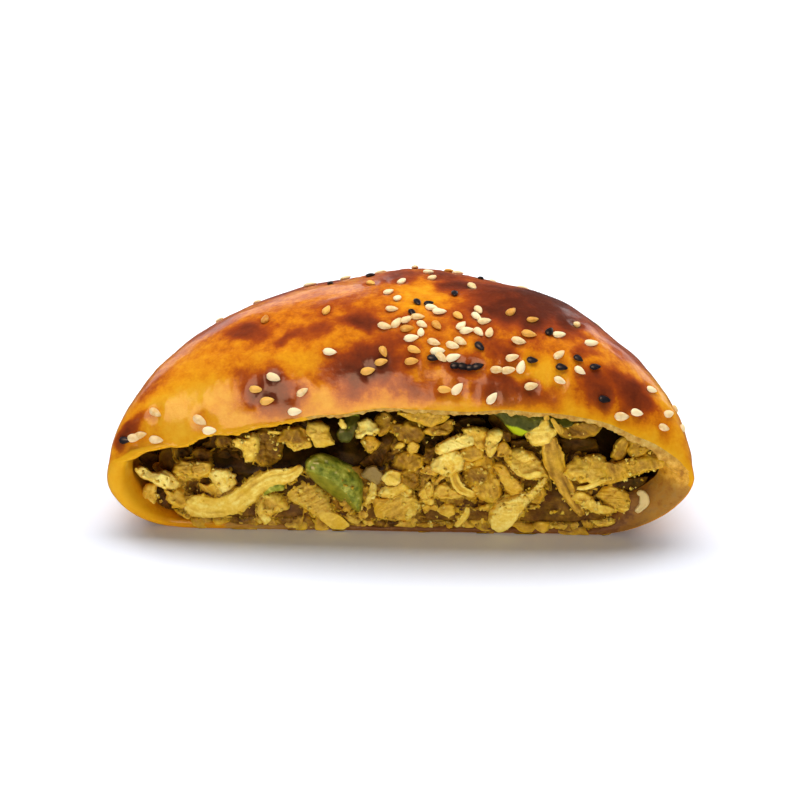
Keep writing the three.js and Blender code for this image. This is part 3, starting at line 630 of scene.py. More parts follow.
# Seed coats: a dry hull with a fine rubbed grain, golden where the oven has toasted it. The
# egg that glues it down leaves a thin film, which gives each seed its small highlight.
def seed_material(name, pale, deep, roughness, coat):
    material = new_material(name)
    place = add(material, "ShaderNodeTexCoord").outputs["Object"]
    cloud = add(material, "ShaderNodeTexNoise",
                {"Vector": place, "Scale": 1 / 0.0009, "Detail": 3})
    tone = add(material, "ShaderNodeAttribute", attribute_name="tone").outputs["Fac"]
    share = add(material, "ShaderNodeMath",
                {0: tone, 1: cloud.outputs["Fac"]}, operation="MULTIPLY")
    colour = add(material, "ShaderNodeValToRGB", {"Fac": share.outputs[0]},
                 stops=[(0.1, pale), (0.6, deep)])
    rub = add(material, "ShaderNodeBump",
              {"Height": cloud.outputs["Fac"], "Strength": 0.25, "Distance": 0.0001})
    surface = add(material, "ShaderNodeBsdfPrincipled", {
        "Base Color": colour.outputs["Color"], "Roughness": roughness,
        "Normal": rub.outputs[0], "Coat Weight": coat, "Coat Roughness": 0.3,
        "Subsurface Weight": 0.15, "Subsurface Scale": 0.0006,
        "Subsurface Radius": (1.2, 0.9, 0.6),
    })
    return finish(material, surface)


for name, places, size, colours, seed in (
    ("white_sesame", SESAME, (SEED_LENGTH, SEED_WIDTH), ("FCE6B6", "E0B46A"), 21),
    ("toasted_sesame", TOASTED_SESAME, (SEED_LENGTH, SEED_WIDTH), ("ECB250", "C07820"), 22),
    ("nigella", NIGELLA, (BLACK_SEED_LENGTH, BLACK_SEED_WIDTH), ("1C1A20", "0C0A0C"), 23),
):
    seeds = strew(name, places, *size, seed)
    seeds.data.materials.append(seed_material("seed_coat_" + name, *colours, 0.42, 0.4))
    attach(seeds, "root")
    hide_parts("crust")

# ---- Chicken -------------------------------------------------------------------------
# Breast cooked with oil, turmeric and pepper and torn by hand: flat flakes, blunt chunks,
# long strips and crumbs, packed loosely over a heap painted darker as shade and pushed up to the cut.

EYE_TARGET = (0.3, CUT_Y, 32.2)
EYE_DISTANCE = 470.5
EYE_TURN, EYE_RISE = 1.9, 27
SHEET = 3  # the pieces are laid out as they are seen on a sheet this far behind the cut
FRONT_MOST = -0.4  # nothing stands further out of the cut than this
GAP = 0.35  # air between the heap and the crust


def from_target(target, distance, turn, rise):
    """A place at a distance from a target; turn 0 is straight out of the open side."""
    a, e = math.radians(turn), math.radians(rise)
    back = np.array([math.sin(a) * math.cos(e), -math.cos(a) * math.cos(e), math.sin(e)])
    return np.array(target) + distance * back


EYE = from_target(EYE_TARGET, EYE_DISTANCE, EYE_TURN, EYE_RISE)


def along_sight(x, height, depth):
    """The place at a depth that is seen at x and height on the sheet."""
    depth = np.maximum(depth, FRONT_MOST)
    x, height, depth = np.broadcast_arrays(x, height, depth)
    way = np.stack([x, np.full(x.shape, CUT_Y + SHEET), height], -1) - EYE
    return EYE + way * ((CUT_Y + depth - EYE[1]) / way[..., 1])[..., None]


def kept_in(points):
    """The points, moved where they must be to stay in the room inside the crust."""
    depth = np.maximum(points[:, 1] - CUT_Y, -0.42)
    side = WALL_SIDE + GAP
    skin_depth = np.clip(depth / (1 - side / DEPTH), 0, 0.96 * DEPTH)
    wide = 0.99 * HALF_WIDTH * np.sqrt(1 - (skin_depth / DEPTH) ** 2)
    skin_x = np.clip(points[:, 0] / (1 - side / HALF_WIDTH), -wide, wide)
    crest = top_height(np.zeros_like(depth), skin_depth)
    base = WALL_BASE + GAP
    share = (crest - WALL_TOP - GAP - base) / crest
    over_edge = ease(1.6, 0.2, depth)
    low = mix(base + share * bottom_height(skin_x, skin_depth), 0.05, over_edge)
    high = base + share * top_height(skin_x, skin_depth) + 1.0 * over_edge
    kept_x = skin_x * (1 - side / HALF_WIDTH)
    return np.stack([kept_x, CUT_Y + depth, np.clip(points[:, 2], low, high)], -1)


def shards(points, size, seed):
    """Random flat facets with steep slopes between them, about -1 to 1."""
    at = np.asarray(points, float) / size + 17.3 * seed
    cell = np.floor(at).astype(np.int64)
    height = np.zeros(at.shape[:-1])
    total = np.full(at.shape[:-1], 1e-9)
    for corner in np.ndindex(*[3] * at.shape[-1]):
        near = cell + np.array(corner) - 1
        mixed = near @ np.array([73856093, 19349663, 83492791])[: at.shape[-1]]
        mixed = (mixed ^ (mixed >> 15)) * 2246822519 & 0xFFFFFFFF
        parts = np.stack([(mixed >> shift & 255) / 255 for shift in (1, 9, 17, 24)], -1)
        away = at - near - parts[..., : at.shape[-1]]
        far = np.sum(away**2, axis=-1)
        slope = 1.6 * (parts[..., 1:3] - 0.5)
        here = 1.2 * (parts[..., 3] - 0.5) + np.sum(slope * away[..., :2], axis=-1)
        weight = np.exp(-12 * far)
        height += weight * here
        total += weight
    return height / total


# Flakes and chunks from the left end to the right: depth of the face, thickness,
# tone (0 pale, 1 dark brown: the piece's own colour, with painted shade in the dark tones of pieces lying
# deep), kind, and the outline as (x, height) on the sheet.
FLAKES = [
    # left end
    (3.4, 2.4, 0.02, "chunk", [(-57.3, 12.6), (-55.8, 13.6), (-54.4, 12.2), (-52.5, 11.8), (-51.2, 12.6),
     (-49.8, 12), (-48.8, 10.4), (-47.8, 9.2), (-48.6, 7.8), (-50.6, 7.7), (-52.4, 8.7), (-54, 9.9),
     (-56.2, 10.6)]),
    (3.6, 2.2, 0.32, "crumbly", [(-57.6, 5.7), (-56.2, 6.5), (-55.6, 8.8), (-54.3, 9.5), (-53.1, 8.4),
     (-53.1, 5.6), (-53.7, 3.6), (-54.8, 4.4), (-56.2, 4.6)]),
    (4.6, 2.2, 0.82, "crumbly", [(-53.4, 8.6), (-51.4, 8), (-49.8, 5.4), (-47.4, 2.4), (-50.4, 2.4),
     (-53, 4)]),
    (2.3, 2.2, 0.28, "crumbly", [(-51.4, 7.8), (-49.6, 7.2), (-48.3, 8.2), (-47.4, 8.7), (-46.9, 6.6),
     (-46.4, 4.6), (-47, 3.2), (-48.4, 3.4), (-50.3, 4.5)]),
    (3.2, 2.6, 0.34, "chunk", [(-49, 12.2), (-47.3, 15.2), (-44.6, 15), (-41.2, 14.7), (-40.8, 12.4),
     (-41.8, 11.1), (-44.2, 10.9), (-47, 11.3)]),
    (7.0, 2.6, 0.72, "smooth", [(-45, 15), (-44.8, 17.4), (-43, 18.6), (-41, 17.6), (-40.4, 14.8),
     (-42.6, 14)]),
    (9.0, 2.6, 0.9, "chunk", [(-48.6, 15.4), (-47.6, 18), (-44.6, 18.8), (-44, 15.4), (-46, 14.6)]),
    (8.4, 2.4, 0.86, "chunk", [(-40.6, 14.2), (-39.8, 17.8), (-36.6, 18.6), (-34.6, 17.4), (-34.4, 14.8),
     (-37, 13.4)]),
    (2.5, 2.6, 0.02, "chunk", [(-41.4, 11.2), (-40.9, 12.9), (-39, 13.1), (-37, 12.6), (-35.6, 11.6),
     (-35.5, 9.6), (-36.6, 8.2), (-38.2, 7), (-39.8, 8.4)]),
    (3.2, 2.0, 0.32, "smooth", [(-43.8, 9.8), (-42, 8.9), (-40.6, 9.8), (-39, 8.2), (-37.4, 7.2),
     (-38.6, 6.4), (-41, 6.6), (-42.8, 7.6)]),
    (5.2, 2.2, 0.78, "chunk", [(-45.8, 11.2), (-42, 11.4), (-40.6, 9.4), (-43.2, 7.2), (-46.4, 7.6)]),
    (6.4, 2.6, 0.95, "chunk", [(-34.8, 15), (-32.4, 15.4), (-31.8, 12), (-33.2, 9.8), (-35, 11)]),
    (2.4, 2.6, 0.22, "crumbly", [(-35.8, 20.2), (-34.2, 21), (-33, 20.6), (-31.8, 22.2), (-30.3, 21.4),
     (-30, 18.4), (-31, 16.4), (-32.2, 14.8), (-33.2, 15.1), (-33.9, 18.1), (-35.6, 18.8)]),
    (4.6, 2.8, 0.66, "chunk", [(-30.8, 22.4), (-28.4, 23.4), (-26.4, 22.2), (-25.4, 19.4), (-25.4, 17),
     (-27, 14.8), (-29.6, 14.2), (-31.6, 16.4)]),
    (6.0, 2.6, 0.74, "smooth", [(-33.4, 12.4), (-31, 14.6), (-27.6, 15), (-25, 14.2), (-27.6, 12.6),
     (-31, 11.4)]),
    (2.2, 0.8, 0.2, "smooth", [(-28.4, 22.6), (-26.8, 22.9), (-25.3, 22.6), (-25.8, 21.9), (-27.4, 22)]),
    (2.8, 2.8, 0.52, "chunk", [(-26, 20.2), (-25.2, 22.6), (-23.4, 23.7), (-20.6, 23.6), (-19, 22.4),
     (-19.2, 20.2), (-21.2, 19.5), (-24, 20)]),
    (2.4, 1.8, 0.24, "crumbly", [(-24.9, 20.2), (-23.7, 18.8), (-22.4, 18), (-21, 18.6), (-19.2, 18.7),
     (-19, 20.2), (-21.6, 20.5)]),
    (2.0, 2.6, 0.22, "chunk", [(-19.8, 22.4), (-19.2, 24.8), (-16.8, 25.2), (-15, 24), (-14.8, 21.6),
     (-14.2, 19.9), (-16.6, 19.1), (-18.2, 19.3), (-18.8, 21)]),
    (1.3, 2.2, 0.24, "crumbly", [(-30.2, 5.8), (-28.4, 7.2), (-25.8, 7), (-24.9, 5.2), (-24.3, 3.2),
     (-26, 3), (-27.4, 2.4), (-28.8, 1.8), (-30.8, 2), (-30.8, 3.8)]),
    (0.2, 1.2, 0.16, "crumbly", [(-31.2, 2.2), (-29.6, 2.8), (-28.4, 2), (-28.4, 0.4), (-28.8, -0.8),
     (-29.8, -1.2), (-30, 0.6)]),
    (2.2, 2.4, 0.72, "crumbly", [(-35.4, 1.8), (-32.6, 4), (-31, 3), (-30.8, 0.4), (-33, -0.6),
     (-35.8, -0.2)]),
    (2.8, 2.4, 0.74, "smooth", [(-27.8, 2), (-25.2, 3.6), (-22.6, 3.8), (-21.4, 1.8), (-22.4, -0.2),
     (-27.6, -0.4)]),
    (1.4, 2.6, 0.24, "smooth", [(-25, 9.4), (-23, 10.8), (-21.4, 12), (-19.6, 10.6), (-16.8, 8.8),
     (-15.6, 6.4), (-14.6, 3.4), (-12.6, 1.6), (-11.5, 0.2), (-13, -0.8), (-15, -0.8), (-17.6, 1.4),
     (-21, 4.1), (-23.6, 5.6), (-24.8, 7.6)]),
    (2.6, 2.0, 0.6, "crumbly", [(-15.6, 8.4), (-14, 7), (-12.8, 4.6), (-11.6, 1.8), (-13.4, 2),
     (-15.2, 4.6)]),
    # middle
    (1.2, 1.6, 0.1, "crumbly", [(-13.4, 25), (-12.4, 25.8), (-11.5, 25.2), (-11.4, 24), (-12.1, 23.4),
     (-12.8, 24.4)]),
    (1.6, 2.4, 0.04, "crumbly", [(-8.6, 25.6), (-7.2, 26.4), (-5.6, 25.6), (-4.5, 24.2), (-4.4, 22.6),
     (-5.8, 22), (-7.2, 22), (-8.4, 21.1), (-9.6, 22.2), (-8.8, 23.4)]),
    (4.2, 2.4, 0.52, "chunk", [(-5.6, 25), (-4.6, 27), (-3, 27.6), (-1.7, 26.8), (-1.8, 24.4), (-2.8, 22.4),
     (-4.4, 22)]),
    (3.4, 2.4, 0.42, "chunk", [(-8.4, 20.6), (-7.4, 21.6), (-5.2, 21.8), (-4, 20.2), (-5, 18.8),
     (-5.9, 17.6), (-7.1, 18)]),
    (6.6, 2.4, 0.8, "smooth", [(-3.2, 22.8), (-0.8, 22), (-2, 19), (-3.2, 16.2), (-3.8, 13.6), (-6.4, 14),
     (-8.6, 15), (-6.4, 17.4), (-4.6, 19.6)]),
    (9.0, 2.6, 0.92, "chunk", [(-13.6, 17.8), (-12, 20.4), (-8.8, 20.6), (-7.6, 17.6), (-10, 15.2),
     (-12.6, 15.6)]),
    (2.8, 2.8, 0.58, "crumbly", [(-1.7, 24.4), (0.6, 25.4), (2.8, 25.6), (4.6, 24.8), (5.4, 22.8),
     (4.8, 20.8), (2.8, 19.8), (1, 20.8), (-0.6, 21.8), (-1.7, 23)]),
    (2.4, 1.4, 0.24, "chunk", [(-0.9, 19), (-0.6, 20.2), (0.6, 20.8), (1.2, 19.6), (0.2, 18.6)]),
    (2.2, 1.8, 0.24, "chunk", [(1.6, 20), (2.8, 20.8), (4.6, 20), (4, 18.4), (2.6, 17.8), (1.8, 18.6)]),
    (1.4, 1.8, 0.4, "smooth", [(0.2, 27.5), (3, 28), (6, 28.2), (9, 27.9), (10.8, 26.8), (9.2, 25.6),
     (7.2, 24.5), (5.6, 24.4), (4, 25.3), (2, 26.3)]),
    (2.8, 2.0, 0.42, "chunk", [(5.4, 23.4), (7, 24.4), (9.2, 24.8), (10.6, 26.2), (11.5, 26), (11.2, 23.4),
     (9.8, 22.3), (7.8, 22.3), (6, 22.4)]),
    (1.0, 2.8, 0.02, "smooth", [(8, 18.4), (8.4, 20.1), (10.4, 21.4), (12.6, 22.3), (14.8, 23.1),
     (16.4, 22), (16.2, 20.4), (14.4, 19.5), (12.4, 18.9), (10.8, 18.3), (9, 17.6)]),
    (2.6, 2.6, 0.3, "crumbly", [(13.8, 23.4), (15, 24.6), (17.6, 24.4), (19.2, 23.8), (18.8, 21.2),
     (18.6, 19), (17, 18.6), (16, 20.6)]),
    (1.6, 2.2, 0.36, "smooth", [(13.2, 18.4), (14.4, 19.8), (16.6, 20), (18.1, 18.6), (17.7, 17),
     (15.8, 16.2), (13.8, 16.6)]),
    (1.0, 2.8, 0.06, "chunk", [(6.8, 14.6), (7.4, 16.1), (8.8, 17.3), (10.6, 18.3), (12.6, 18.5),
     (13.8, 17.4), (14, 15.6), (13.4, 14), (12, 13.2), (10.8, 12.4), (9, 13), (7.2, 13.8)]),
    (2.6, 1.6, 0.34, "crumbly", [(4.6, 13.8), (6.4, 14.8), (8, 14), (8.6, 12.8), (6.6, 12.4)]),
    (2.4, 3.0, 0.4, "crumbly", [(13.4, 16.4), (16, 17.6), (19.4, 17.6), (20.4, 15.4), (20.8, 12.6),
     (21.9, 9.8), (21.7, 7.2), (20.2, 6.3), (18.4, 6.7), (16.6, 8), (15, 9.8), (14.4, 12)]),
    (1.4, 2.4, 0.5, "smooth", [(14.2, 12.4), (15, 14.4), (17.2, 14.9), (19.2, 13.8), (19.5, 11.6), (18, 10),
     (15.6, 10.2)]),
    (1.6, 1.4, 0.2, "crumbly", [(18.6, 7.4), (20, 8.6), (21.8, 8.4), (21.6, 6.8), (20.4, 6), (19, 6.4)]),
    (1.2, 2.2, 0.12, "chunk", [(-3.7, 11.8), (-2.6, 13.2), (-1.2, 13.9), (-0.1, 13.2), (0.3, 11.6),
     (0, 10.2), (-1.2, 9.6), (-2.8, 10)]),
    (1.4, 2.6, 0.18, "crumbly", [(-3.9, 9.4), (-2.8, 10.5), (-0.6, 10.2), (0.9, 11.2), (2.2, 9.8),
     (2.6, 7.6), (1.2, 6.2), (-1.6, 6.4), (-4.9, 7.4)]),
    (0.6, 2.6, 0.3, "smooth", [(-4.9, 6.4), (-2.6, 6.4), (0.4, 7.6), (2, 7), (3.6, 6.2), (4.3, 4.6),
     (3.2, 3.1), (1.8, 1.4), (0.2, 0.9), (-1.4, 0.5), (-3.4, 0.8), (-5.6, 1.5), (-6.1, 3), (-5.4, 4.8)]),
    (0.4, 1.6, 0.14, "crumbly", [(1.6, 7), (3.8, 6.4), (4.6, 4.7), (3.4, 2.8), (2, 1.3), (1.4, 3),
     (2.4, 4.6)]),
    (1.6, 1.2, 0.14, "crumbly", [(-6.2, 10.8), (-4.9, 10.4), (-4.7, 8.8), (-5.4, 7.2), (-6.4, 5.8),
     (-7.4, 5), (-7, 7)]),
    (2.6, 2.2, 0.5, "crumbly", [(-8.4, 9), (-6.8, 9.4), (-6, 6.8), (-7.4, 4.6), (-8.8, 6)]),
    (2.8, 2.6, 0.56, "chunk", [(0.2, 13.2), (1.8, 13.9), (3.6, 13), (4.4, 11), (3.7, 9), (2.2, 8.6),
     (0.8, 10)]),
    (3.8, 2.8, 0.5, "chunk", [(-1.9, 14.4), (-0.6, 17), (1.2, 18.5), (3.6, 18), (5.2, 16.8), (4.8, 14.6),
     (3.2, 13.2), (1, 13)]),
    (4.8, 2.6, 0.66, "chunk", [(4.8, 16.2), (5.8, 19.6), (7.8, 19.4), (8.4, 17), (6.6, 15)]),
    (6.4, 2.4, 0.9, "chunk", [(4.6, 21.6), (8, 22.8), (11.4, 21.8), (9.4, 19.4), (6, 19)]),
    (7.0, 2.4, 0.92, "chunk", [(11.2, 25), (14, 26.8), (18, 26.6), (18, 24.6), (14, 23.8)]),
    (1.6, 2.4, 0.16, "chunk", [(4, 7.6), (5, 9.5), (6.4, 10.9), (7.4, 10.2), (7.5, 8.3), (6.6, 6.9),
     (5, 6.8)]),
    (1.9, 2.4, 0.24, "chunk", [(7.3, 7.8), (8.4, 9.9), (10, 10.8), (11.4, 9.7), (12.8, 8.4), (13.8, 7.4),
     (11.8, 6.7), (9.4, 6.7)]),
    (1.9, 1.4, 0.22, "crumbly", [(4.3, 6.3), (6, 7), (7.9, 6.1), (7.7, 5), (5.6, 5)]),
    (3.2, 2.2, 0.55, "chunk", [(8, 6.8), (12.8, 6.8), (16.4, 6.9), (17, 5.6), (15.6, 4.6), (11, 4.8),
     (8, 5)]),
    (1.8, 2.2, 0.34, "crumbly", [(4.4, 4.7), (6, 5.2), (8.4, 4.9), (9, 2.8), (7.6, 1.4), (6.4, 1.8),
     (5.4, 3)]),
    (1.6, 2.2, 0.28, "crumbly", [(8, 4.4), (10, 5.4), (11.8, 4.8), (12.4, 2.8), (11, 1.5), (9.8, 1.2),
     (9, -0.4), (8.3, 0.2), (8.2, 2)]),
    (1.4, 2.0, 0.34, "crumbly", [(15.2, 1.6), (16.1, 2.9), (17.6, 3.2), (19.2, 2.7), (19.6, 1.2), (18.6, 0),
     (17, -0.5), (15.7, 0)]),
    (1.4, 1.6, 0.34, "crumbly", [(-9.2, 4), (-7.6, 3.8), (-6.6, 2.2), (-7.6, 1), (-8.9, 1.4)]),
    (0.4, 1.0, 0.3, "crumbly", [(-8.2, 0.9), (-6.2, 1.2), (-5.2, 0.2), (-6.8, -0.6), (-8, -0.2)]),
    (1.2, 1.2, 0.1, "crumbly", [(-10.4, 6.8), (-9, 6.4), (-8.2, 4.6), (-8.6, 2.9), (-10, 3.2),
     (-10.6, 4.8)]),
    (0.6, 1.0, 0.5, "crumbly", [(4, 0), (7, 0.8), (10.4, -0.2), (12.4, -1), (8, -1.2), (4.6, -1)]),
    # right
    (1.3, 2.4, 0.12, "chunk", [(18.5, 20.6), (18.9, 22.9), (20.2, 24), (21.8, 23.8), (22.1, 22.2),
     (21.2, 20.2), (20.8, 18.3), (19.8, 17.3), (18.7, 18.5)]),
    (2.4, 2.2, 0.44, "chunk", [(21, 19.6), (22.4, 21), (23.8, 19.8), (24.4, 18), (22.8, 17.2),
     (21.2, 17.6)]),
    (3.8, 2.2, 0.66, "chunk", [(22, 23.8), (23.8, 23.2), (24, 21.4), (22.4, 21), (21.6, 22.2)]),
    (5.2, 2.4, 0.8, "chunk", [(24.2, 21), (27.4, 21.4), (30, 19.6), (31, 17.2), (28, 17), (24.4, 18.6)]),
    (1.2, 3.0, 0.16, "chunk", [(22.7, 16.8), (23.4, 18.4), (24.8, 19.3), (26.8, 19.2), (28.8, 18.2),
     (30, 16.8), (31, 14.8), (31.8, 13), (30.2, 12.5), (28.4, 12.2), (26.6, 12.4), (25.2, 13.5),
     (24, 15.2)]),
    (2.6, 2.4, 0.32, "smooth", [(20.2, 15.4), (22, 15.8), (23.4, 15), (24.2, 13.2), (25.4, 12),
     (26.4, 10.8), (27.1, 9), (25.6, 7.8), (23.8, 8.2), (22.8, 10), (21.6, 12)]),
    (3.6, 2.2, 0.74, "chunk", [(26.2, 12.6), (29.4, 12.8), (31, 11.4), (29, 9.4), (26.6, 10)]),
    (0.6, 2.2, 0.1, "smooth", [(32, 13), (30.2, 10.8), (28, 9), (26.2, 8.2), (24.2, 7.2), (22, 6.2),
     (20.4, 4.4), (20.2, 2.4), (20.8, 0.2), (21.8, -0.7), (23.2, -0.8), (24.8, 0.6), (26, 2.4), (27.4, 4.6),
     (28.4, 6.2), (30, 8.2), (31.6, 10.8)]),
    (2.4, 2.0, 0.38, "chunk", [(28, 6.8), (29.4, 8.8), (31.2, 9.6), (31.8, 8), (30.8, 6.1), (29.2, 5.6)]),
    (1.2, 2.8, 0.12, "chunk", [(27, 23.2), (28, 24.4), (29.8, 25), (30.8, 26.6), (32, 26.2), (32.4, 24.8),
     (33.8, 23.8), (33.2, 22.5), (32.2, 21.2), (31, 20.2), (29.4, 20.3), (28.2, 21.2), (27.3, 22)]),
    (3.0, 2.4, 0.62, "chunk", [(34.4, 22.8), (35.2, 25.2), (37, 25.4), (38.6, 26), (41.6, 26), (43.2, 24.8),
     (41.8, 22.9), (39.2, 22.2), (36.8, 22.2)]),
    (6.6, 2.8, 0.86, "smooth", [(34.8, 21.8), (38.6, 22.4), (41.8, 21.8), (42.6, 19.4), (43.4, 18),
     (40.4, 17.6), (37, 16.4), (35.2, 18.4)]),
    (1.4, 3.0, 0.24, "crumbly", [(35.7, 13), (36.4, 14.9), (37.3, 16.4), (38.5, 18), (39.2, 16.9),
     (40.6, 17.8), (42.6, 18.2), (44.2, 17.4), (45, 15.4), (44.6, 12.8), (42.8, 10.9), (41, 11.2),
     (39.8, 11.6), (38.4, 12)]),
    (2.6, 3.0, 0.4, "smooth", [(43.6, 16.8), (46.4, 16.1), (48.8, 16.9), (51.4, 17.5), (53.6, 18.2),
     (56, 17.6), (57.6, 16.6), (56.8, 15.2), (54.2, 14.7), (52.4, 13.9), (50.2, 13), (47.8, 11.9),
     (45.2, 11.2), (43, 10.9)]),
    (1.2, 2.0, 0.24, "crumbly", [(38, 7), (38.7, 8.6), (40.2, 9), (41.8, 8), (42.8, 6.6), (44, 5.8),
     (45.6, 5.6), (47.2, 4.6), (46.2, 3.8), (44.2, 3.7), (42.4, 4), (40.8, 4.8), (39.2, 6)]),
    (2.8, 3.0, 0.34, "smooth", [(42.2, 8.4), (44, 10.3), (46, 10.8), (48.2, 9.8), (50, 8.8), (51, 7),
     (50.8, 5), (49.4, 3.6), (48, 4.2), (46.6, 5.4), (44.6, 6.6)]),
    (1.6, 1.2, 0.2, "crumbly", [(48.2, 4.8), (50.4, 4.8), (52.2, 3.8), (51, 3), (49, 3.5)]),
    (4.8, 2.8, 0.48, "smooth", [(45.7, 17.6), (46.1, 20.4), (47.3, 22.4), (48.7, 22.8), (49.6, 21.4),
     (49.2, 19.2), (48.4, 17.4), (47, 16.8)]),
    (4.2, 2.8, 0.46, "chunk", [(49, 19.4), (49.6, 22.4), (51.4, 23.4), (53.2, 22), (54.1, 20.4), (53, 18.6),
     (51, 17.5), (49.4, 18)]),
    (3.4, 2.6, 0.46, "crumbly", [(52.2, 17.4), (53.8, 19.2), (55.8, 19.8), (57.2, 18), (56.8, 15.8),
     (54.6, 14.6), (52.8, 15.4)]),
    (5.0, 2.0, 0.8, "crumbly", [(31, 9.6), (33.6, 8.6), (35.6, 6.6), (33.6, 4.8), (30.8, 5.4)]),
    (2.4, 2.2, 0.6, "crumbly", [(26.6, 2.6), (29, 4.2), (31.4, 3.4), (33.6, 4.8), (35.8, 5.4), (37.8, 4.8),
     (39, 3), (39.8, 0.8), (37, -0.6), (33, -0.9), (29, -0.8), (27, -0.2)]),
    (2.0, 1.2, 0.3, "crumbly", [(34.6, 3.4), (35.6, 4.4), (36.6, 3.6), (36.4, 1.8), (35.2, 1.4)]),
    (3.0, 2.2, 0.7, "crumbly", [(39.8, 2.6), (43, 3.4), (47, 3.4), (50.4, 2.6), (48, 1), (42.6, 0.8)]),
    (4.8, 2.2, 0.88, "smooth", [(41.6, 10), (44.4, 11.4), (50, 12.6), (53.6, 13), (52, 9.8), (47, 9.6)]),
]
FLAKES_LEAN, CUT_LEAN = 0.32, 0.05  # most that torn and that cut pieces lean
OVERLAP = 1.12  # how much larger a piece is than the part of it that shows

# Long strips: thickness, tone, and the places they run through as x and height on the
# sheet, depth and width.
STRIPS = [
    (2.6, 0.14, [(-47.0, 4.4, 1.8, 3.6), (-44.4, 3.5, 1.4, 6.6), (-40.6, 2.9, 1.2, 6.4),
     (-37, 3.9, 1.2, 5.8), (-33.8, 6.5, 1.2, 5.2), (-31, 9.2, 1.4, 4.9), (-27.6, 11.2, 1.8, 4.6),
     (-24.4, 11.8, 2.2, 3.6), (-22.4, 12.9, 2.4, 2.6), (-21, 14.4, 2.6, 1.6)]),
    (2.2, 0.42, [(32.2, 22.4, 2.4, 3.2), (33, 18.2, 2.0, 4.5), (34.2, 14.6, 1.7, 4.3),
     (35.6, 11.2, 1.5, 3.6), (37.4, 7.6, 1.3, 2.9), (39, 4.8, 1.2, 2.2), (40.4, 2.8, 1.2, 1.5)]),
    (1.6, 0.14, [(11.8, 13.6, 1.4, 1.7), (12.2, 11.2, 0.9, 2.1), (13.4, 9.2, 0.8, 2.2),
     (15.4, 8.1, 1.1, 1.9), (16.8, 7.6, 1.8, 1.4)]),
    (1.4, 0.12, [(15, 4.9, 1.8, 1.2), (14.6, 2.8, 1.2, 1.6), (13.4, 0.8, 0.8, 1.7),
     (12.2, -0.5, 0.4, 1.4)]),
    (1.0, 0.1, [(38.4, 9.8, 1.4, 1.0), (40.6, 10, 0.9, 1.3), (42.8, 11.1, 0.9, 1.4), (45, 12.2, 1.4, 1.0)]),
    (0.8, 0.3, [(32.5, 27, 1.4, 0.8), (33.8, 24.8, 1.1, 1.1), (35, 22.6, 1.4, 0.8)]),
    (0.8, 0.34, [(34.2, 25.6, 1.8, 0.8), (35.2, 23.2, 1.6, 0.9)]),
    (1.0, 0.36, [(31.4, 28, 1.4, 1.0), (31.6, 26.2, 1.2, 1.6)]),
]

SURFACE = {  # torn edge, knobs, facets, fibres, and how late its face rounds off
    "smooth": (0.9, 0.1, 0.45, 0.2, 5),
    "chunk": (1.2, 0.2, 0.95, 0.15, 8),
    "crumbly": (1.7, 0.45, 0.8, 0.12, 5.5),
    "sliced": (0.2, 0, 0, 0, 14),
}
FINE = 0.36  # spacing of a piece's points
COARSE = 0.76  # the same in the shade, where less of it shows


def torn_edge(outline, rough, seed, spacing):
    """The outline as many points, its corners eased and its edge torn."""
    corners = np.array(outline + outline[:1], float)
    lengths = np.linalg.norm(np.diff(corners, axis=0), axis=1)
    where = np.concatenate([[0], np.cumsum(lengths)])
    at = np.linspace(0, where[-1], max(20, round(where[-1] / spacing)), endpoint=False)
    edge = np.stack([np.interp(at, where, corners[:, i]) for i in (0, 1)], -1)
    for _ in range(2):
        edge = 0.5 * edge + 0.25 * (np.roll(edge, 1, axis=0) + np.roll(edge, -1, axis=0))
    middle = edge.mean(axis=0)
    edge = middle + OVERLAP * (edge - middle)
    out = (edge - middle) / np.linalg.norm(edge - middle, axis=1, keepdims=True)
    around = np.column_stack([edge, np.full(len(edge), seed)])
    torn = 0.34 * grain(around, 1.5, seed) + 0.2 * grain(around, 0.7, seed + 1)
    return edge + out * (rough * torn)[:, None], middle


def relief(x, height, kind, seed, way):
    """How far the face of a piece stands out, and a mark, highest in its cracks, that paints shade into them.
    """
    _, knobby, faceted, fibrous, _ = SURFACE[kind]
    flat = np.stack([x, height, np.full_like(x, seed)], -1)
    turned = np.stack([x * math.cos(way) + height * math.sin(way),
                       height * math.cos(way) - x * math.sin(way), np.full_like(x, seed)], -1)
    knobs = 0.55 - lumps(flat, 1.7, seed)
    steps = shards(flat[..., :2], 2.6, seed)
    fibres = grain(turned, 0.62, seed, (6, 1, 1)) + 0.6 * grain(turned, 0.34, seed + 1, (5, 1, 1))
    fine = 0.09 * grain(flat, 0.8, seed + 2) + 0.05 * grain(flat, 0.4, seed + 3)
    wave = 0.3 * grain(flat, 2.8, seed + 4)
    cracks = knobby * knobs + fibrous * fibres + fine
    return wave + cracks + faceted * steps, -cracks


class Heap:
    """Pieces gathered into one mesh, with their tone, their rims, and a crease mark that paints shade into
    the cracks of chicken and marks the skin of pepper.
    """

    def __init__(self, behind=None):
        self.points, self.faces, self.tone, self.crack, self.rim = [], [], [], [], []
        self.count = 0
        self.behind = behind

    def lay(self, points, faces, tone, crack, rim):
        if self.behind:
            points = self.behind(points)
        points = kept_in(points)
        a, b, c = points[faces].transpose(1, 0, 2) - points[0]
        if np.sum(a * np.cross(b, c)) < 0:
            faces = faces[:, ::-1]
        self.points.append(points)
        self.faces.append(faces + self.count)
        self.tone.append(np.broadcast_to(tone, len(points)))
        self.crack.append(crack)
        self.rim.append(rim)
        self.count += len(points)

    def piece(self, name):
        marks = {"tone": self.tone, "crack": self.crack, "rim": self.rim}
        marks = {mark: np.concatenate(values) for mark, values in marks.items()}
        return make_mesh(name, np.concatenate(self.points), np.concatenate(self.faces), marks)


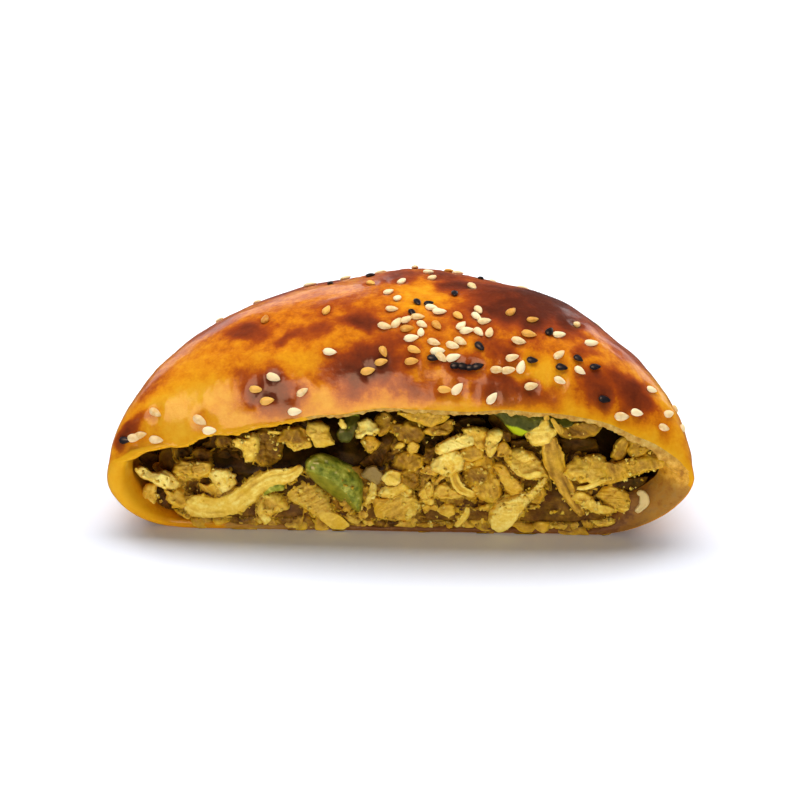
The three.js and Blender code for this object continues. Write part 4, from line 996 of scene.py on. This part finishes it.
def nested(count, rings):
    """Triangles over rings of equal count, closed by a point before and one after them."""
    k = np.arange(count)
    after = (k + 1) % count
    ring = count * np.arange(rings - 1)[:, None]
    first = np.stack([ring + k, ring + after, ring + count + after], -1).reshape(-1, 3)
    second = np.stack([ring + k, ring + count + after, ring + count + k], -1).reshape(-1, 3)
    end = (rings - 1) * count
    before = np.stack([k, np.full(count, end + count), after], -1)
    behind = np.stack([end + k, end + after, np.full(count, end + count + 1)], -1)
    return np.concatenate([first, second, before, behind])


def lay_flake(heap, outline, depth, thickness, tone, kind, draws, form=relief, spacing=FINE,
              leaning=FLAKES_LEAN):
    seed = draws.uniform(1, 90)
    edge, middle = torn_edge(outline, SURFACE[kind][0], seed, spacing)
    reach = np.linalg.norm(edge - middle, axis=1).max()
    inner = max(5, round(1.2 * reach / spacing))
    shares = 1 - (np.arange(inner) / inner) ** 1.3
    lean = draws.uniform(-leaning, leaning), draws.uniform(-0.1, 2 * leaning)
    way = draws.uniform(0, math.pi)
    round_off = SURFACE[kind][4]
    rows, cracks, rims = [], [], []
    # The two hidden back rows get half the crease mark: painted shade on the back of each piece.
    for back in (0.35, 0.75):
        sheet = middle + back * (edge - middle)
        tilt = (sheet - middle) @ lean
        rows.append(along_sight(sheet[:, 0], sheet[:, 1], depth + tilt + thickness * (2.2 - back)))
        cracks.append(np.full(len(edge), 0.5))
        rims.append(np.zeros(len(edge)))
    for share in shares:
        sheet = middle + share * (edge - middle)
        tilt = (sheet - middle) @ lean
        out, crack = form(sheet[:, 0], sheet[:, 1], kind, seed, way)
        full = (1 - share**round_off) ** 0.5
        settle = min(1.0, thickness / 2.4) * (0.25 + 0.75 * full)
        face = depth + tilt + thickness * (1 - full) - out * settle
        rows.append(along_sight(sheet[:, 0], sheet[:, 1], face))
        cracks.append(crack)
        rims.append(np.full(len(edge), share**5 + 1e-3))
    back_middle = along_sight(*middle, depth + 2.1 * thickness)
    out, _ = form(middle[:1], middle[1:], kind, seed, way)
    front_middle = along_sight(*middle, depth - out[0] * min(1.0, thickness / 2.4))
    points = np.concatenate(rows + [back_middle[None], front_middle[None]])
    crack = np.concatenate(cracks + [[0.5, 0]])
    rim = np.concatenate(rims + [[0, 0]])
    heap.lay(points, nested(len(edge), len(rows)), tone, crack, rim)


def through(values, shares):
    """Rows of values joined smoothly, at shares from 0 to 1 of the way along them."""
    values = np.array(values, float)
    if len(values) == 2:
        return mix(values[0], values[1], shares[:, None])
    ends = np.concatenate([[2 * values[0] - values[1]], values, [2 * values[-1] - values[-2]]])
    lengths = np.linalg.norm(np.diff(values[:, :2], axis=0), axis=1)
    where = np.concatenate([[0], np.cumsum(lengths)]) / lengths.sum()
    at = np.interp(shares, where, np.arange(len(values)))
    cell = np.minimum(at.astype(int), len(values) - 2)
    t = (at - cell)[:, None]
    a, b, c, d = (ends[cell + i] for i in range(4))
    return 0.5 * (2 * b + (c - a) * t + (2 * a - 5 * b + 4 * c - d) * t**2 + (3 * b - a - 3 * c + d) * t**3)


def lay_strip(heap, places, thickness, tone, draws, kind="smooth"):
    seed = draws.uniform(1, 90)
    length = np.linalg.norm(np.diff(np.array(places)[:, :2], axis=0), axis=1).sum()
    rings = max(8, round(length / FINE))
    shares = (np.arange(rings) + 0.5) / rings
    line = through(places, shares)
    way = np.gradient(line[:, :2], axis=0)
    way /= np.linalg.norm(way, axis=1, keepdims=True)
    side = np.stack([-way[:, 1], way[:, 0]], -1)
    widest = line[:, 3].max()
    count = max(12, 2 * round((widest + thickness) / FINE))
    turn = 2 * np.pi * np.arange(count) / count
    blunt = np.sqrt(1 - np.abs(2 * shares - 1) ** (length / 0.8))
    along = np.repeat((shares * length)[:, None], count, axis=1)
    ragged = np.stack([along, np.cos(turn) * np.ones_like(along), np.full_like(along, seed)], -1)
    torn = 1 + 0.16 * grain(ragged, 1.6, seed) + 0.09 * grain(ragged, 0.7, seed + 1)
    half = (0.5 * line[:, 3] * blunt)[:, None] * torn
    across = half * np.sign(np.cos(turn)) * np.abs(np.cos(turn)) ** 0.7
    front = np.sign(np.sin(turn)) * np.abs(np.sin(turn)) ** 0.5
    sheet = line[:, None, :2] + across[..., None] * side[:, None]
    flat = np.stack([along, across, np.full_like(along, seed)], -1)
    fibres = grain(flat, 0.7, seed, (9, 1, 1)) + 0.5 * grain(flat, 0.36, seed + 1, (8, 1, 1))
    groove = -np.maximum(0, grain(flat, 1.5, seed + 2, (7, 1, 1)) - 0.15)
    fine = 0.07 * grain(flat, 0.8, seed + 3)
    out = 0.3 * fibres + 1.1 * groove + fine + 0.5 * grain(flat, 3.0, seed + 4, (2, 1, 1))
    lift = 0.5 * thickness * blunt[:, None] * front + out * (front > 0) * min(1, thickness / 2)
    points = along_sight(sheet[..., 0], sheet[..., 1], line[:, 2, None] + 0.5 * thickness - lift)
    # The crease mark is highest in grooves and between fibres: painted shade there.
    crack = (-0.3 * fibres - 0.9 * groove - fine).ravel()
    rim = (np.abs(np.cos(turn)) ** 5 * np.ones_like(along)).ravel()
    ends = [along_sight(line[i, 0], line[i, 1], line[i, 2] + 0.5 * thickness) for i in (0, -1)]
    points = np.concatenate([points.reshape(-1, 3), ends])
    heap.lay(points, nested(count, rings), tone, np.append(crack, [0, 0]), np.append(rim, [1, 1]))


draws = np.random.default_rng(5)
left_flakes, right_flakes, strips = Heap(), Heap(), Heap()
for depth, thickness, tone, kind, outline in FLAKES:
    side = left_flakes if outline[0][0] < 4 else right_flakes
    lay_flake(side, outline, depth, thickness, tone, kind, draws)
for thickness, tone, places in STRIPS:
    lay_strip(strips, places, thickness, tone, draws)

# Behind the pieces at the cut lies the rest of the heap, painted dark brown as shade and darker
# towards the top, where the crust keeps the light off it.
HEAP_FOOT, HEAP_FACE = 1.4, 5
HEAP_UNDER_CRUST, HEAP_AT_ENDS = 12, 14
# Dark hollows in it: x, height, radius, depth.
HOLLOWS = [(-21.5, 19, 5, 7), (-4.5, 18.5, 5, 8), (-10, 27, 8, 8), (20, 27, 4, 5), (46.5, 21.5, 5, 8)]


def heap_depth(x, height):
    face = mix(HEAP_FOOT, HEAP_FACE, ease(2, 8, height))
    under_crust = HEAP_UNDER_CRUST * ease(0.45, 0.85, height / top_height(x, np.zeros_like(x)))
    at_ends = HEAP_AT_ENDS * ease(0.66, 0.92, abs(x) / HALF_WIDTH)
    hollow = 0
    for at_x, at_height, radius, far in HOLLOWS:
        away = ((x - at_x) / radius) ** 2 + ((height - at_height) / radius) ** 2
        hollow = hollow + far * np.exp(-away)
    return face + under_crust + at_ends + hollow


CORE_AROUND, CORE_FACE_ROWS = 200, 34
CORE_SHADE_LOW, CORE_SHADE_HIGH = 0.66, 0.92
angle = 2 * np.pi * np.arange(CORE_AROUND) / CORE_AROUND
rows = []
for back in (0.99, 0.9, 0.75, 0.55):
    rows.append(inside(angle, np.full_like(angle, back * np.pi / 2), GAP + 0.4))
near = inside(angle, np.zeros_like(angle), GAP + 0.4)
rim = inside(angle, np.arcsin(heap_depth(near[:, 0], near[:, 2]) / DEPTH), GAP + 0.4)
middle = np.array([0, 0, float(widest_height(0))])
for share in np.linspace(1, 0.02, CORE_FACE_ROWS):
    row = middle + share * (rim - middle)
    bumps = 1.7 * (0.6 - lumps(row * (1, 0, 1), 3.8, 3)) + 0.9 * (0.5 - lumps(row * (1, 0, 1), 1.7, 4))
    bumps += 0.9 * shards(row[:, [0, 2]], 2.4, 5)
    row[:, 1] = CUT_Y + heap_depth(row[:, 0], row[:, 2]) - bumps * min(1, 4 * (1 - share))
    rows.append(row)
far_end = inside(np.array(0.5), np.array(np.pi / 2), GAP + 0.4)
ends = [far_end, np.array([0, rows[-1][:, 1].mean(), middle[2]])]
core = Heap()
count = sum(len(row) for row in rows)
core_points = np.concatenate(rows + [np.array(ends)])
# Painted shade: the heap's colour darkens from the base towards the top.
core_shade = mix(CORE_SHADE_LOW, CORE_SHADE_HIGH, ease(2, 12, core_points[:, 2]))
core.lay(core_points, nested(CORE_AROUND, len(rows)), core_shade, np.zeros(count + 2), np.zeros(count + 2))

# Loose pieces half in the shade fill the heap between the others, but for the places,
# seen on the sheet, where one looks into a dark gap: x, height, half width, half height.
DARK_GAPS = [
    (-19, 16.8, 8.5, 1.9), (-10.4, 22.8, 6.4, 5.4), (43, 21.6, 5.2, 2.6), (14.6, 25.4, 4.6, 1.0),
    (23, 20.8, 1.2, 1.0), (-36.2, 12.6, 1.4, 2.2), (-4.6, 15.4, 1.6, 1.2), (6.4, 19.4, 1.0, 0.8),
    (33.6, 8.6, 1.6, 1.8), (44.6, 10.6, 4.4, 0.6), (-46, 17.6, 3.6, 0.6), (20.4, 10, 0.8, 1.2),
]
# Each layer: spacing, how far it stands in front of the heap, smallest and largest
# piece, and its tone low down and further up, which is painted shade, darker higher up under the crust.
LAYERS = [(4.6, 0.9, 3.0, 4.8, 0.5, 0.8), (4.4, 2.3, 2.4, 4.2, 0.4, 0.66)]
SHADED_THICKNESS = 2.0
CELL = 0.7  # of the depth map
BEHIND_OTHERS = 0.7  # how far a loose piece stays behind those that it would hide


def on_sheet(points):
    """x and height at which places are seen on the sheet, and their depth."""
    way = points - EYE
    seen = EYE + way * ((CUT_Y + SHEET - EYE[1]) / way[:, 1])[:, None]
    return seen[:, 0], seen[:, 2], points[:, 1] - CUT_Y


def cells_of(x, height):
    """The cells of the depth map in which places on the sheet lie."""
    return np.clip((x + 68) / CELL, 0, 199).astype(int), np.clip((height + 8) / CELL, 0, 69).astype(int)


shown = np.concatenate(left_flakes.points + right_flakes.points + strips.points)
shown_x, shown_height, shown_depth = on_sheet(shown)
depth_map = np.full((200, 70), 90.0)
np.minimum.at(depth_map, cells_of(shown_x, shown_height), shown_depth)
depth_map[depth_map > 80] = -9


def behind_others(points):
    """The points, pushed along the line of sight behind the pieces that are seen there."""
    seen_x, seen_height, seen_depth = on_sheet(points)
    least = depth_map[cells_of(seen_x, seen_height)] + BEHIND_OTHERS
    return along_sight(seen_x, seen_height, np.maximum(seen_depth, least))


def ragged_shape(x, height, size, long):
    """A loose outline of seven corners round a place on the sheet."""
    turns = np.arange(7) * 2 * math.pi / 7 + draws.uniform(-0.36, 0.36, 7)
    reach = size * draws.uniform(0.6, 1.25, 7)
    lean = draws.uniform(0, math.pi)
    flat = np.stack([long * reach * np.cos(turns), reach * np.sin(turns) / long], -1)
    turned = flat @ [[math.cos(lean), math.sin(lean)], [-math.sin(lean), math.cos(lean)]]
    return [(x + dx, height + dz) for dx, dz in turned]


fillers = Heap(behind_others)
for spacing, before, smallest, largest, shade_low, shade_high in LAYERS:
    for x in np.arange(-57, 59, spacing):
        for height in np.arange(0.2, float(top_height(x, np.array(1.0))) - 2, spacing):
            at_x = x + draws.uniform(-0.4, 0.4) * spacing
            at_z = height + draws.uniform(-0.4, 0.4) * spacing
            size, long = draws.uniform(smallest, largest), draws.uniform(0.55, 1.8)
            margin = 0.6 * size
            if any(math.hypot((at_x - gx) / (gw + margin), (at_z - gz) / (gh + margin)) < 1
                   for gx, gz, gw, gh in DARK_GAPS):
                continue
            depth = SHEET
            for _ in range(6):
                true_height = max(0.5, at_z - math.tan(math.radians(EYE_RISE)) * (depth - SHEET))
                depth = 0.5 * (depth + float(heap_depth(np.array(at_x), np.array(true_height))))
            depth = max(depth - before * draws.uniform(0.7, 1.3), 0.6)
            outline = ragged_shape(at_x, at_z, size, long)
            kind = ("smooth", "chunk", "chunk", "crumbly")[draws.integers(4)]
            # Painted shade: darker tones higher up, where the crust overhangs the heap.
            shade = float(mix(shade_low, shade_high, ease(3, 18, height))) + draws.uniform(-0.14, 0.14)
            lay_flake(fillers, outline, depth, SHADED_THICKNESS, shade, kind, draws, spacing=COARSE)

# Small scraps that have dropped onto the base along the cut.
SCRAPS_FROM, SCRAPS_TO, SCRAP_SPACING = -44, 43, 1.15
SCRAP_SMALLEST, SCRAP_LARGEST, SCRAP_THICKNESS = 0.8, 2.0, 1.5
for x in np.arange(SCRAPS_FROM, SCRAPS_TO, SCRAP_SPACING):
    size = draws.uniform(SCRAP_SMALLEST, SCRAP_LARGEST)
    up = 4.8 * draws.uniform(0, 1) ** 1.3
    outline = ragged_shape(x + draws.uniform(-0.7, 0.7), up, size, draws.uniform(0.7, 1.7))
    depth = draws.uniform(-0.2, 2.2) + 0.3 * up
    lay_flake(fillers, outline, depth, SCRAP_THICKNESS, draws.uniform(0.22, 0.82), "crumbly", draws,
              spacing=COARSE)

# Crumbs rubbed off the pieces, strewn over them.
CRUMBS = 900
CRUMB_SMALLEST, CRUMB_LARGEST = 0.15, 0.42
crumbs = Heap()
faces_seen = np.concatenate(left_flakes.points + right_flakes.points + strips.points)
rims_seen = np.concatenate(left_flakes.rim + right_flakes.rim + strips.rim)
rubbed = faces_seen[(rims_seen > 0.02) & (faces_seen[:, 1] < CUT_Y + 6)]
on_pepper = along_sight(draws.uniform(-12.5, -9.2, 40), draws.uniform(4, 12, 40), 0.6)
rubbed = np.concatenate([rubbed, np.repeat(on_pepper, len(rubbed) // 3000, axis=0)])
for _ in range(CRUMBS):
    at = rubbed[draws.integers(len(rubbed))] + draws.normal(0, 0.25, 3)
    at[1] = max(at[1], CUT_Y + FRONT_MOST + 0.35)
    size = draws.uniform(CRUMB_SMALLEST, CRUMB_LARGEST)
    turn = 2 * np.pi * np.arange(7) / 7
    rings = []
    for up, wide in ((-0.6, 0.75), (0, 1), (0.6, 0.7)):
        rings.append(np.stack([wide * np.cos(turn), wide * np.sin(turn), np.full(7, up)], -1))
    blob = np.concatenate(rings + [[(0, 0, -0.95), (0, 0, 0.95)]])
    blob = blob * draws.uniform(0.7, 1.3, 3)
    blob += 0.3 * draws.normal(size=blob.shape)
    spin = np.linalg.qr(draws.normal(size=(3, 3)))[0]
    if np.linalg.det(spin) < 0:
        spin[:, 0] *= -1
    points = at + size * blob @ spin
    crumbs.lay(points, nested(7, 3), draws.uniform(0.02, 0.5), np.zeros(23), np.full(23, 0.4))

torn_left = left_flakes.piece("torn_chicken_left")
torn_right = right_flakes.piece("torn_chicken_right")
torn_strips = strips.piece("torn_chicken_strips")
shaded = fillers.piece("chicken_in_the_shade")
heap_core = core.piece("heap_core")
loose_crumbs = crumbs.piece("chicken_crumbs")


# Cooked chicken: protein that has set pale, stained by turmeric and pan juices. The
# fibres break the light into fine streaks, and the juice gives it a soft wet gleam. Its darker
# tones and its creases also carry painted shade.
chicken = new_material("torn_cooked_chicken")
place = add(chicken, "ShaderNodeTexCoord").outputs["Object"]
stain = add(chicken, "ShaderNodeTexNoise",
            {"Vector": place, "Scale": 1 / 0.0026, "Detail": 5, "Roughness": 0.6})
fine = add(chicken, "ShaderNodeTexNoise",
           {"Vector": place, "Scale": 1 / 0.0007, "Detail": 4, "Roughness": 0.65})
# The tone mark holds each piece's own colour and, for pieces deep in the heap, painted shade.
tone = add(chicken, "ShaderNodeAttribute", attribute_name="tone").outputs["Fac"]
crack = add(chicken, "ShaderNodeAttribute", attribute_name="crack").outputs["Fac"]
rim_mark = add(chicken, "ShaderNodeAttribute", attribute_name="rim").outputs["Fac"]
worn = add(chicken, "ShaderNodeMath", {0: stain.outputs["Fac"], 1: 0.5, 2: -0.4}, operation="MULTIPLY_ADD")
worn = add(chicken, "ShaderNodeMath",
           {0: fine.outputs["Fac"], 1: 0.35, 2: worn.outputs[0]}, operation="MULTIPLY_ADD")
# The crease mark darkens cracks and grooves: painted shade.
deep = add(chicken, "ShaderNodeMath", {0: crack, 1: 0.5, 2: worn.outputs[0]}, operation="MULTIPLY_ADD")
edged = add(chicken, "ShaderNodeMath", {0: rim_mark, 1: -0.14, 2: deep.outputs[0]}, operation="MULTIPLY_ADD")
# Tone, crease mark and rim together: the piece's own colour, with painted shade from dark tones and creases.
browned_and_shaded = add(chicken, "ShaderNodeMath", {0: tone, 1: 1.0, 2: edged.outputs[0]}, operation="MULTIPLY_ADD")
flesh = add(chicken, "ShaderNodeValToRGB", {"Fac": browned_and_shaded.outputs[0]},
            stops=[(0.0, "FFE882"), (1.0, "180E06"), (0.14, "F4D05A"), (0.34, "D6A63A"),
                   (0.52, "9C6E22"), (0.72, "5E380E")])
yolk = add(chicken, "ShaderNodeTexNoise",
           {"Vector": place, "Scale": 1 / 0.0028, "Detail": 3, "Roughness": 0.6})
turmeric = add(chicken, "ShaderNodeMapRange",
               {"Value": yolk.outputs["Fac"], "From Min": 0.42, "From Max": 0.66,
                "To Min": 0, "To Max": 0.5})
at_edges = add(chicken, "ShaderNodeMath",
               {0: rim_mark, 1: 0.55, 2: turmeric.outputs[0]}, operation="MULTIPLY_ADD", use_clamp=True)
lit = add(chicken, "ShaderNodeMapRange",
          {"Value": browned_and_shaded.outputs[0], "From Min": 0.4, "From Max": 0.8, "To Min": 1, "To Max": 0.1})
stain_share = add(chicken, "ShaderNodeMath",
                  {0: at_edges.outputs[0], 1: lit.outputs[0]}, operation="MULTIPLY")
stained = add(chicken, "ShaderNodeMix",
              {"Factor": stain_share.outputs[0], "A": flesh.outputs["Color"], "B": linear("E0AE18")},
              data_type="RGBA")
flesh_bump = add(chicken, "ShaderNodeBump",
                 {"Height": fine.outputs["Fac"], "Strength": 0.5, "Distance": 0.00025})
chicken_surface = add(chicken, "ShaderNodeBsdfPrincipled", {
    "Base Color": stained.outputs["Result"], "Roughness": 0.42, "Normal": flesh_bump.outputs[0],
    "Specular IOR Level": 0.25,
    "Subsurface Weight": 0.25, "Subsurface Scale": 0.0012, "Subsurface Radius": (1.2, 0.8, 0.35),
})
finish(chicken, chicken_surface)

for piece in (torn_left, torn_right, torn_strips, shaded, heap_core, loose_crumbs):
    piece.data.materials.append(chicken)
    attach(piece, "root")
    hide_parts("chicken_filling")

# ---- Green pepper ----------------------------------------------------------------------
# Sweet green pepper in cut pieces, cooked soft: thin glossy dark skin over paler flesh,
# with crumbs of the chicken stuck to it.

PEPPERS = {
    "green_pepper_wedge": (1.2, 3.4, [(-19.7, 14.8), (-18.4, 16.4), (-16.4, 17), (-14, 16.2), (-12.3, 15.2),
        (-10, 14), (-8.8, 12.2), (-8.2, 9.6), (-8.4, 6), (-8.9, 3.3), (-10.4, 3.9), (-12.5, 5.4),
        (-16.1, 8.6), (-18.4, 10.8), (-19.8, 12.6)]),
    "green_pepper_chip": (3.6, 1.8, [(-12, 24.8), (-10.8, 27), (-8.8, 27.4), (-8.5, 25), (-9.3, 22.8),
        (-10.6, 20.4), (-12.6, 20.6), (-13.4, 22.4)]),
    "green_pepper_slice": (1.8, 1.8, [(20.2, 28.7), (23, 28.4), (27, 28), (31.4, 27.6), (36, 27.2),
        (38.4, 26.2), (35.4, 24.8), (31, 24.9), (28.6, 24.2), (26.4, 22.7), (24.8, 23.4), (23.8, 24.7),
        (22.6, 26.1), (21.2, 27.4)]),
}
# The cut face of a piece lies below this line: its ends, and how far it bows up.
CUT_LINES = {
    "green_pepper_wedge": ((-19.9, 13.2), (-8.9, 3.0), 1.7),
    "green_pepper_chip": ((-14, 20), (-8, 20), 0),
    "green_pepper_slice": ((19.4, 27.2), (25.2, 24.6), -0.6),
}
SKIN_FALLS, FLESH_FALLS = 0.1, 0.8


def over_cut_line(name, x, height):
    """How far a place lies over the line between flesh and skin."""
    (x0, z0), (x1, z1), bow = CUT_LINES[name]
    long = math.hypot(x1 - x0, z1 - z0)
    dx, dz = (x1 - x0) / long, (z1 - z0) / long
    along = np.clip(((x - x0) * dx + (height - z0) * dz) / long, 0, 1)
    return (height - z0) * dx - (x - x0) * dz - 4 * bow * along * (1 - along)


def pepper_form(name):
    def form(x, height, kind, seed, way):
        over = over_cut_line(name, x, height)
        out = 0.9 - SKIN_FALLS * np.maximum(over, 0) ** 2 + FLESH_FALLS * np.minimum(over, 0)
        flat = np.stack([x, height, np.full_like(x, seed)], -1)
        wrinkle = 0.28 * grain(flat, 1.5, seed) + 0.12 * grain(flat, 0.6, seed + 1)
        wave = 0.3 * grain(flat, 3.6, seed + 2)
        return out + wave + wrinkle * (0.3 + 0.7 * (over > 0)), ease(-0.12, 0.12, over)

    return form


# Cooked green pepper: waxy skin gone soft and blotchy over watery flesh, so that it shines
# in small broken highlights.
pepper = new_material("cooked_green_pepper")
place = add(pepper, "ShaderNodeTexCoord").outputs["Object"]
patch = add(pepper, "ShaderNodeTexNoise",
            {"Vector": place, "Scale": 1 / 0.0016, "Detail": 4, "Roughness": 0.6})
skin_colour = add(pepper, "ShaderNodeValToRGB", {"Fac": patch.outputs["Fac"]},
                  stops=[(0.3, "505C08"), (0.75, "DCD668"), (0.46, "848A20"), (0.6, "B0AE3C")])
flesh_colour = add(pepper, "ShaderNodeValToRGB", {"Fac": patch.outputs["Fac"]},
                   stops=[(0.3, "5C5812"), (0.7, "908826")])
# On pepper pieces the same mark tells skin from flesh.
skinned = add(pepper, "ShaderNodeAttribute", attribute_name="crack").outputs["Fac"]
lime = add(pepper, "ShaderNodeAttribute", attribute_name="tone").outputs["Fac"]
flesh_or_lime = add(pepper, "ShaderNodeMix",
                    {"Factor": lime, "A": flesh_colour.outputs["Color"], "B": linear("BECE10")},
                    data_type="RGBA")
dark_skin = add(pepper, "ShaderNodeMix",
                {"Factor": lime, "A": skin_colour.outputs["Color"], "B": linear("3E3A0C")}, data_type="RGBA")
green = add(pepper, "ShaderNodeMix",
            {"Factor": skinned, "A": flesh_or_lime.outputs["Result"], "B": dark_skin.outputs["Result"]},
            data_type="RGBA")
pepper_bump = add(pepper, "ShaderNodeBump",
                  {"Height": patch.outputs["Fac"], "Strength": 0.4, "Distance": 0.0003})
finish(pepper, add(pepper, "ShaderNodeBsdfPrincipled", {
    "Base Color": green.outputs["Result"], "Roughness": 0.3, "Normal": pepper_bump.outputs[0],
    "Coat Weight": 0.6, "Coat Roughness": 0.1, "Coat Normal": pepper_bump.outputs[0],
    "Subsurface Weight": 0.15, "Subsurface Scale": 0.001, "Subsurface Radius": (0.6, 1.0, 0.3),
}))

for name, (depth, thickness, outline) in PEPPERS.items():
    cut = Heap()
    tone = 0.1 if name == "green_pepper_wedge" else 0.85
    lay_flake(cut, outline, depth, thickness, tone, "sliced", draws, form=pepper_form(name),
              leaning=CUT_LEAN)
    piece = cut.piece(name + "_cooked")
    piece.data.materials.append(pepper)
    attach(piece, "root")
    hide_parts(name)

curl = Heap()
lay_strip(curl, [(-30.9, 6.2, 2.6, 1.6), (-29.2, 8, 2.2, 2.1), (-27, 8.9, 2.0, 2.2), (-24.8, 8.8, 2.4, 1.8)],
          1.8, 0.0, draws)
curl.crack = [np.ones(curl.count)]
strip_piece = curl.piece("green_pepper_strip_cooked")
strip_piece.data.materials.append(pepper)
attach(strip_piece, "root")
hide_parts("green_pepper_strip")

# ---- Onion -----------------------------------------------------------------------------
# Two scraps of onion, cooked until they let the light through: a square piece beside the
# large pepper, and a curled end at the right.

# Softened onion: layers turned glassy by the heat, so that light goes in and comes back warm.
onion = new_material("softened_onion")
place = add(onion, "ShaderNodeTexCoord").outputs["Object"]
veins = add(onion, "ShaderNodeTexNoise",
            {"Vector": place, "Scale": 1 / 0.0022, "Detail": 3})
onion_tone = add(onion, "ShaderNodeAttribute", attribute_name="tone").outputs["Fac"]
onion_colour = add(onion, "ShaderNodeMix",
                   {"Factor": onion_tone, "A": linear("D8BC7C"), "B": linear("9A8048")}, data_type="RGBA")
finish(onion, add(onion, "ShaderNodeBsdfPrincipled", {
    "Base Color": onion_colour.outputs["Result"], "Roughness": 0.32,
    "Subsurface Weight": 0.5, "Subsurface Scale": 0.0015, "Subsurface Radius": (1.0, 0.8, 0.5),
    "Normal": add(onion, "ShaderNodeBump", {"Height": veins.outputs["Fac"], "Strength": 0.3,
                                            "Distance": 0.0002}).outputs[0],
}))

scrap = Heap()
lay_flake(scrap, [(-8.1, 12.4), (-7, 13.9), (-5.6, 14.7), (-4.2, 13.5), (-3.1, 12.2), (-3.8, 10.5), (-5, 9.9),
                  (-6.4, 11.1), (-7.6, 11.7)], 2.0, 2.2, 1.0, "smooth", draws, leaning=CUT_LEAN)
crescent = Heap()
lay_strip(crescent, [(51.6, 9.4, 0.6, 1.3), (53.1, 8.3, 0, 1.9), (53.2, 6.1, -0.1, 2.1),
                     (51.6, 3.9, 0.3, 1.3)], 1.8, 0.0, draws)
for heap, name in ((scrap, "onion_piece"), (crescent, "onion_crescent")):
    piece = heap.piece(name + "_cooked")
    piece.data.materials.append(onion)
    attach(piece, "root")
    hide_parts(name)

# ---- Stage, light and camera ---------------------------------------------------------
# A white table in a dim white room, lit by three softboxes above and behind, a wide fill in
# front and a low strip at each side. The window at the left shows only in gloss.

bpy.ops.mesh.primitive_plane_add(size=3)
floor = bpy.context.object
floor.name = "table_top"
# White table: a smooth painted board, matt enough to keep the shadow soft.
white = new_material("white_table")
white_surface = add(white, "ShaderNodeBsdfPrincipled", {"Base Color": linear("F1F5FF"), "Roughness": 0.7})
finish(white, white_surface)
floor.data.materials.append(white)
floor.visible_glossy = False


def look_from(name, data, target, distance, turn, rise):
    """An object at a distance from a target, looking at it."""
    made = bpy.data.objects.new(name, data)
    made.location = 0.001 * from_target(target, distance, turn, rise)
    made.rotation_euler = (math.radians(90 - rise), 0, math.radians(turn))
    bpy.context.scene.collection.objects.link(made)
    return made


lens = bpy.data.cameras.new("camera")
lens.lens = 100
lens.sensor_width = 36
camera = look_from("camera", lens, EYE_TARGET, EYE_DISTANCE, EYE_TURN, EYE_RISE)
bpy.context.scene.camera = camera

LIGHTS = [
    # name, width, height, distance, turn, rise, watts, colour, lights matt faces, seen in the gloss
    ("back_softbox", 700, 340, 600, 180, 65, 4.9, "FFFFFF", True, False),
    ("back_left_softbox", 420, 300, 700, -125, 38, 1.9, "FFFFFF", True, False),
    ("back_right_softbox", 420, 300, 700, 125, 38, 1.9, "FFFFFF", True, False),
    ("window_softbox", 340, 290, 600, -32, 56, 2.35, "FFCCA8", False, True),
    ("front_fill", 1200, 240, 800, 0, 8, 4.6, "FFFFFF", True, False),
    ("left_strip", 500, 260, 900, -158, 6, 0.4, "FFFFFF", True, True),
    ("right_strip", 400, 260, 900, 150, 6, 0.4, "FFFFFF", True, True),
]
for name, width, height, distance, turn, rise, watts, colour, lights_matt, in_gloss in LIGHTS:
    panel = bpy.data.lights.new(name, "AREA")
    panel.shape = "RECTANGLE"
    panel.size, panel.size_y = 0.001 * width, 0.001 * height
    panel.energy = watts
    panel.color = linear(colour)[:3]
    light = look_from(name, panel, (0, 0, 20), distance, turn, rise)
    light.visible_diffuse, light.visible_glossy = lights_matt, in_gloss

world = bpy.data.worlds.new("white_room")
world.use_nodes = True
world.node_tree.nodes["Background"].inputs["Color"].default_value = linear("FFFFFF")
world.node_tree.nodes["Background"].inputs["Strength"].default_value = 0.08
bpy.context.scene.world = world
bpy.context.scene.view_settings.view_transform = "Standard"

bpy.context.view_layer.update()
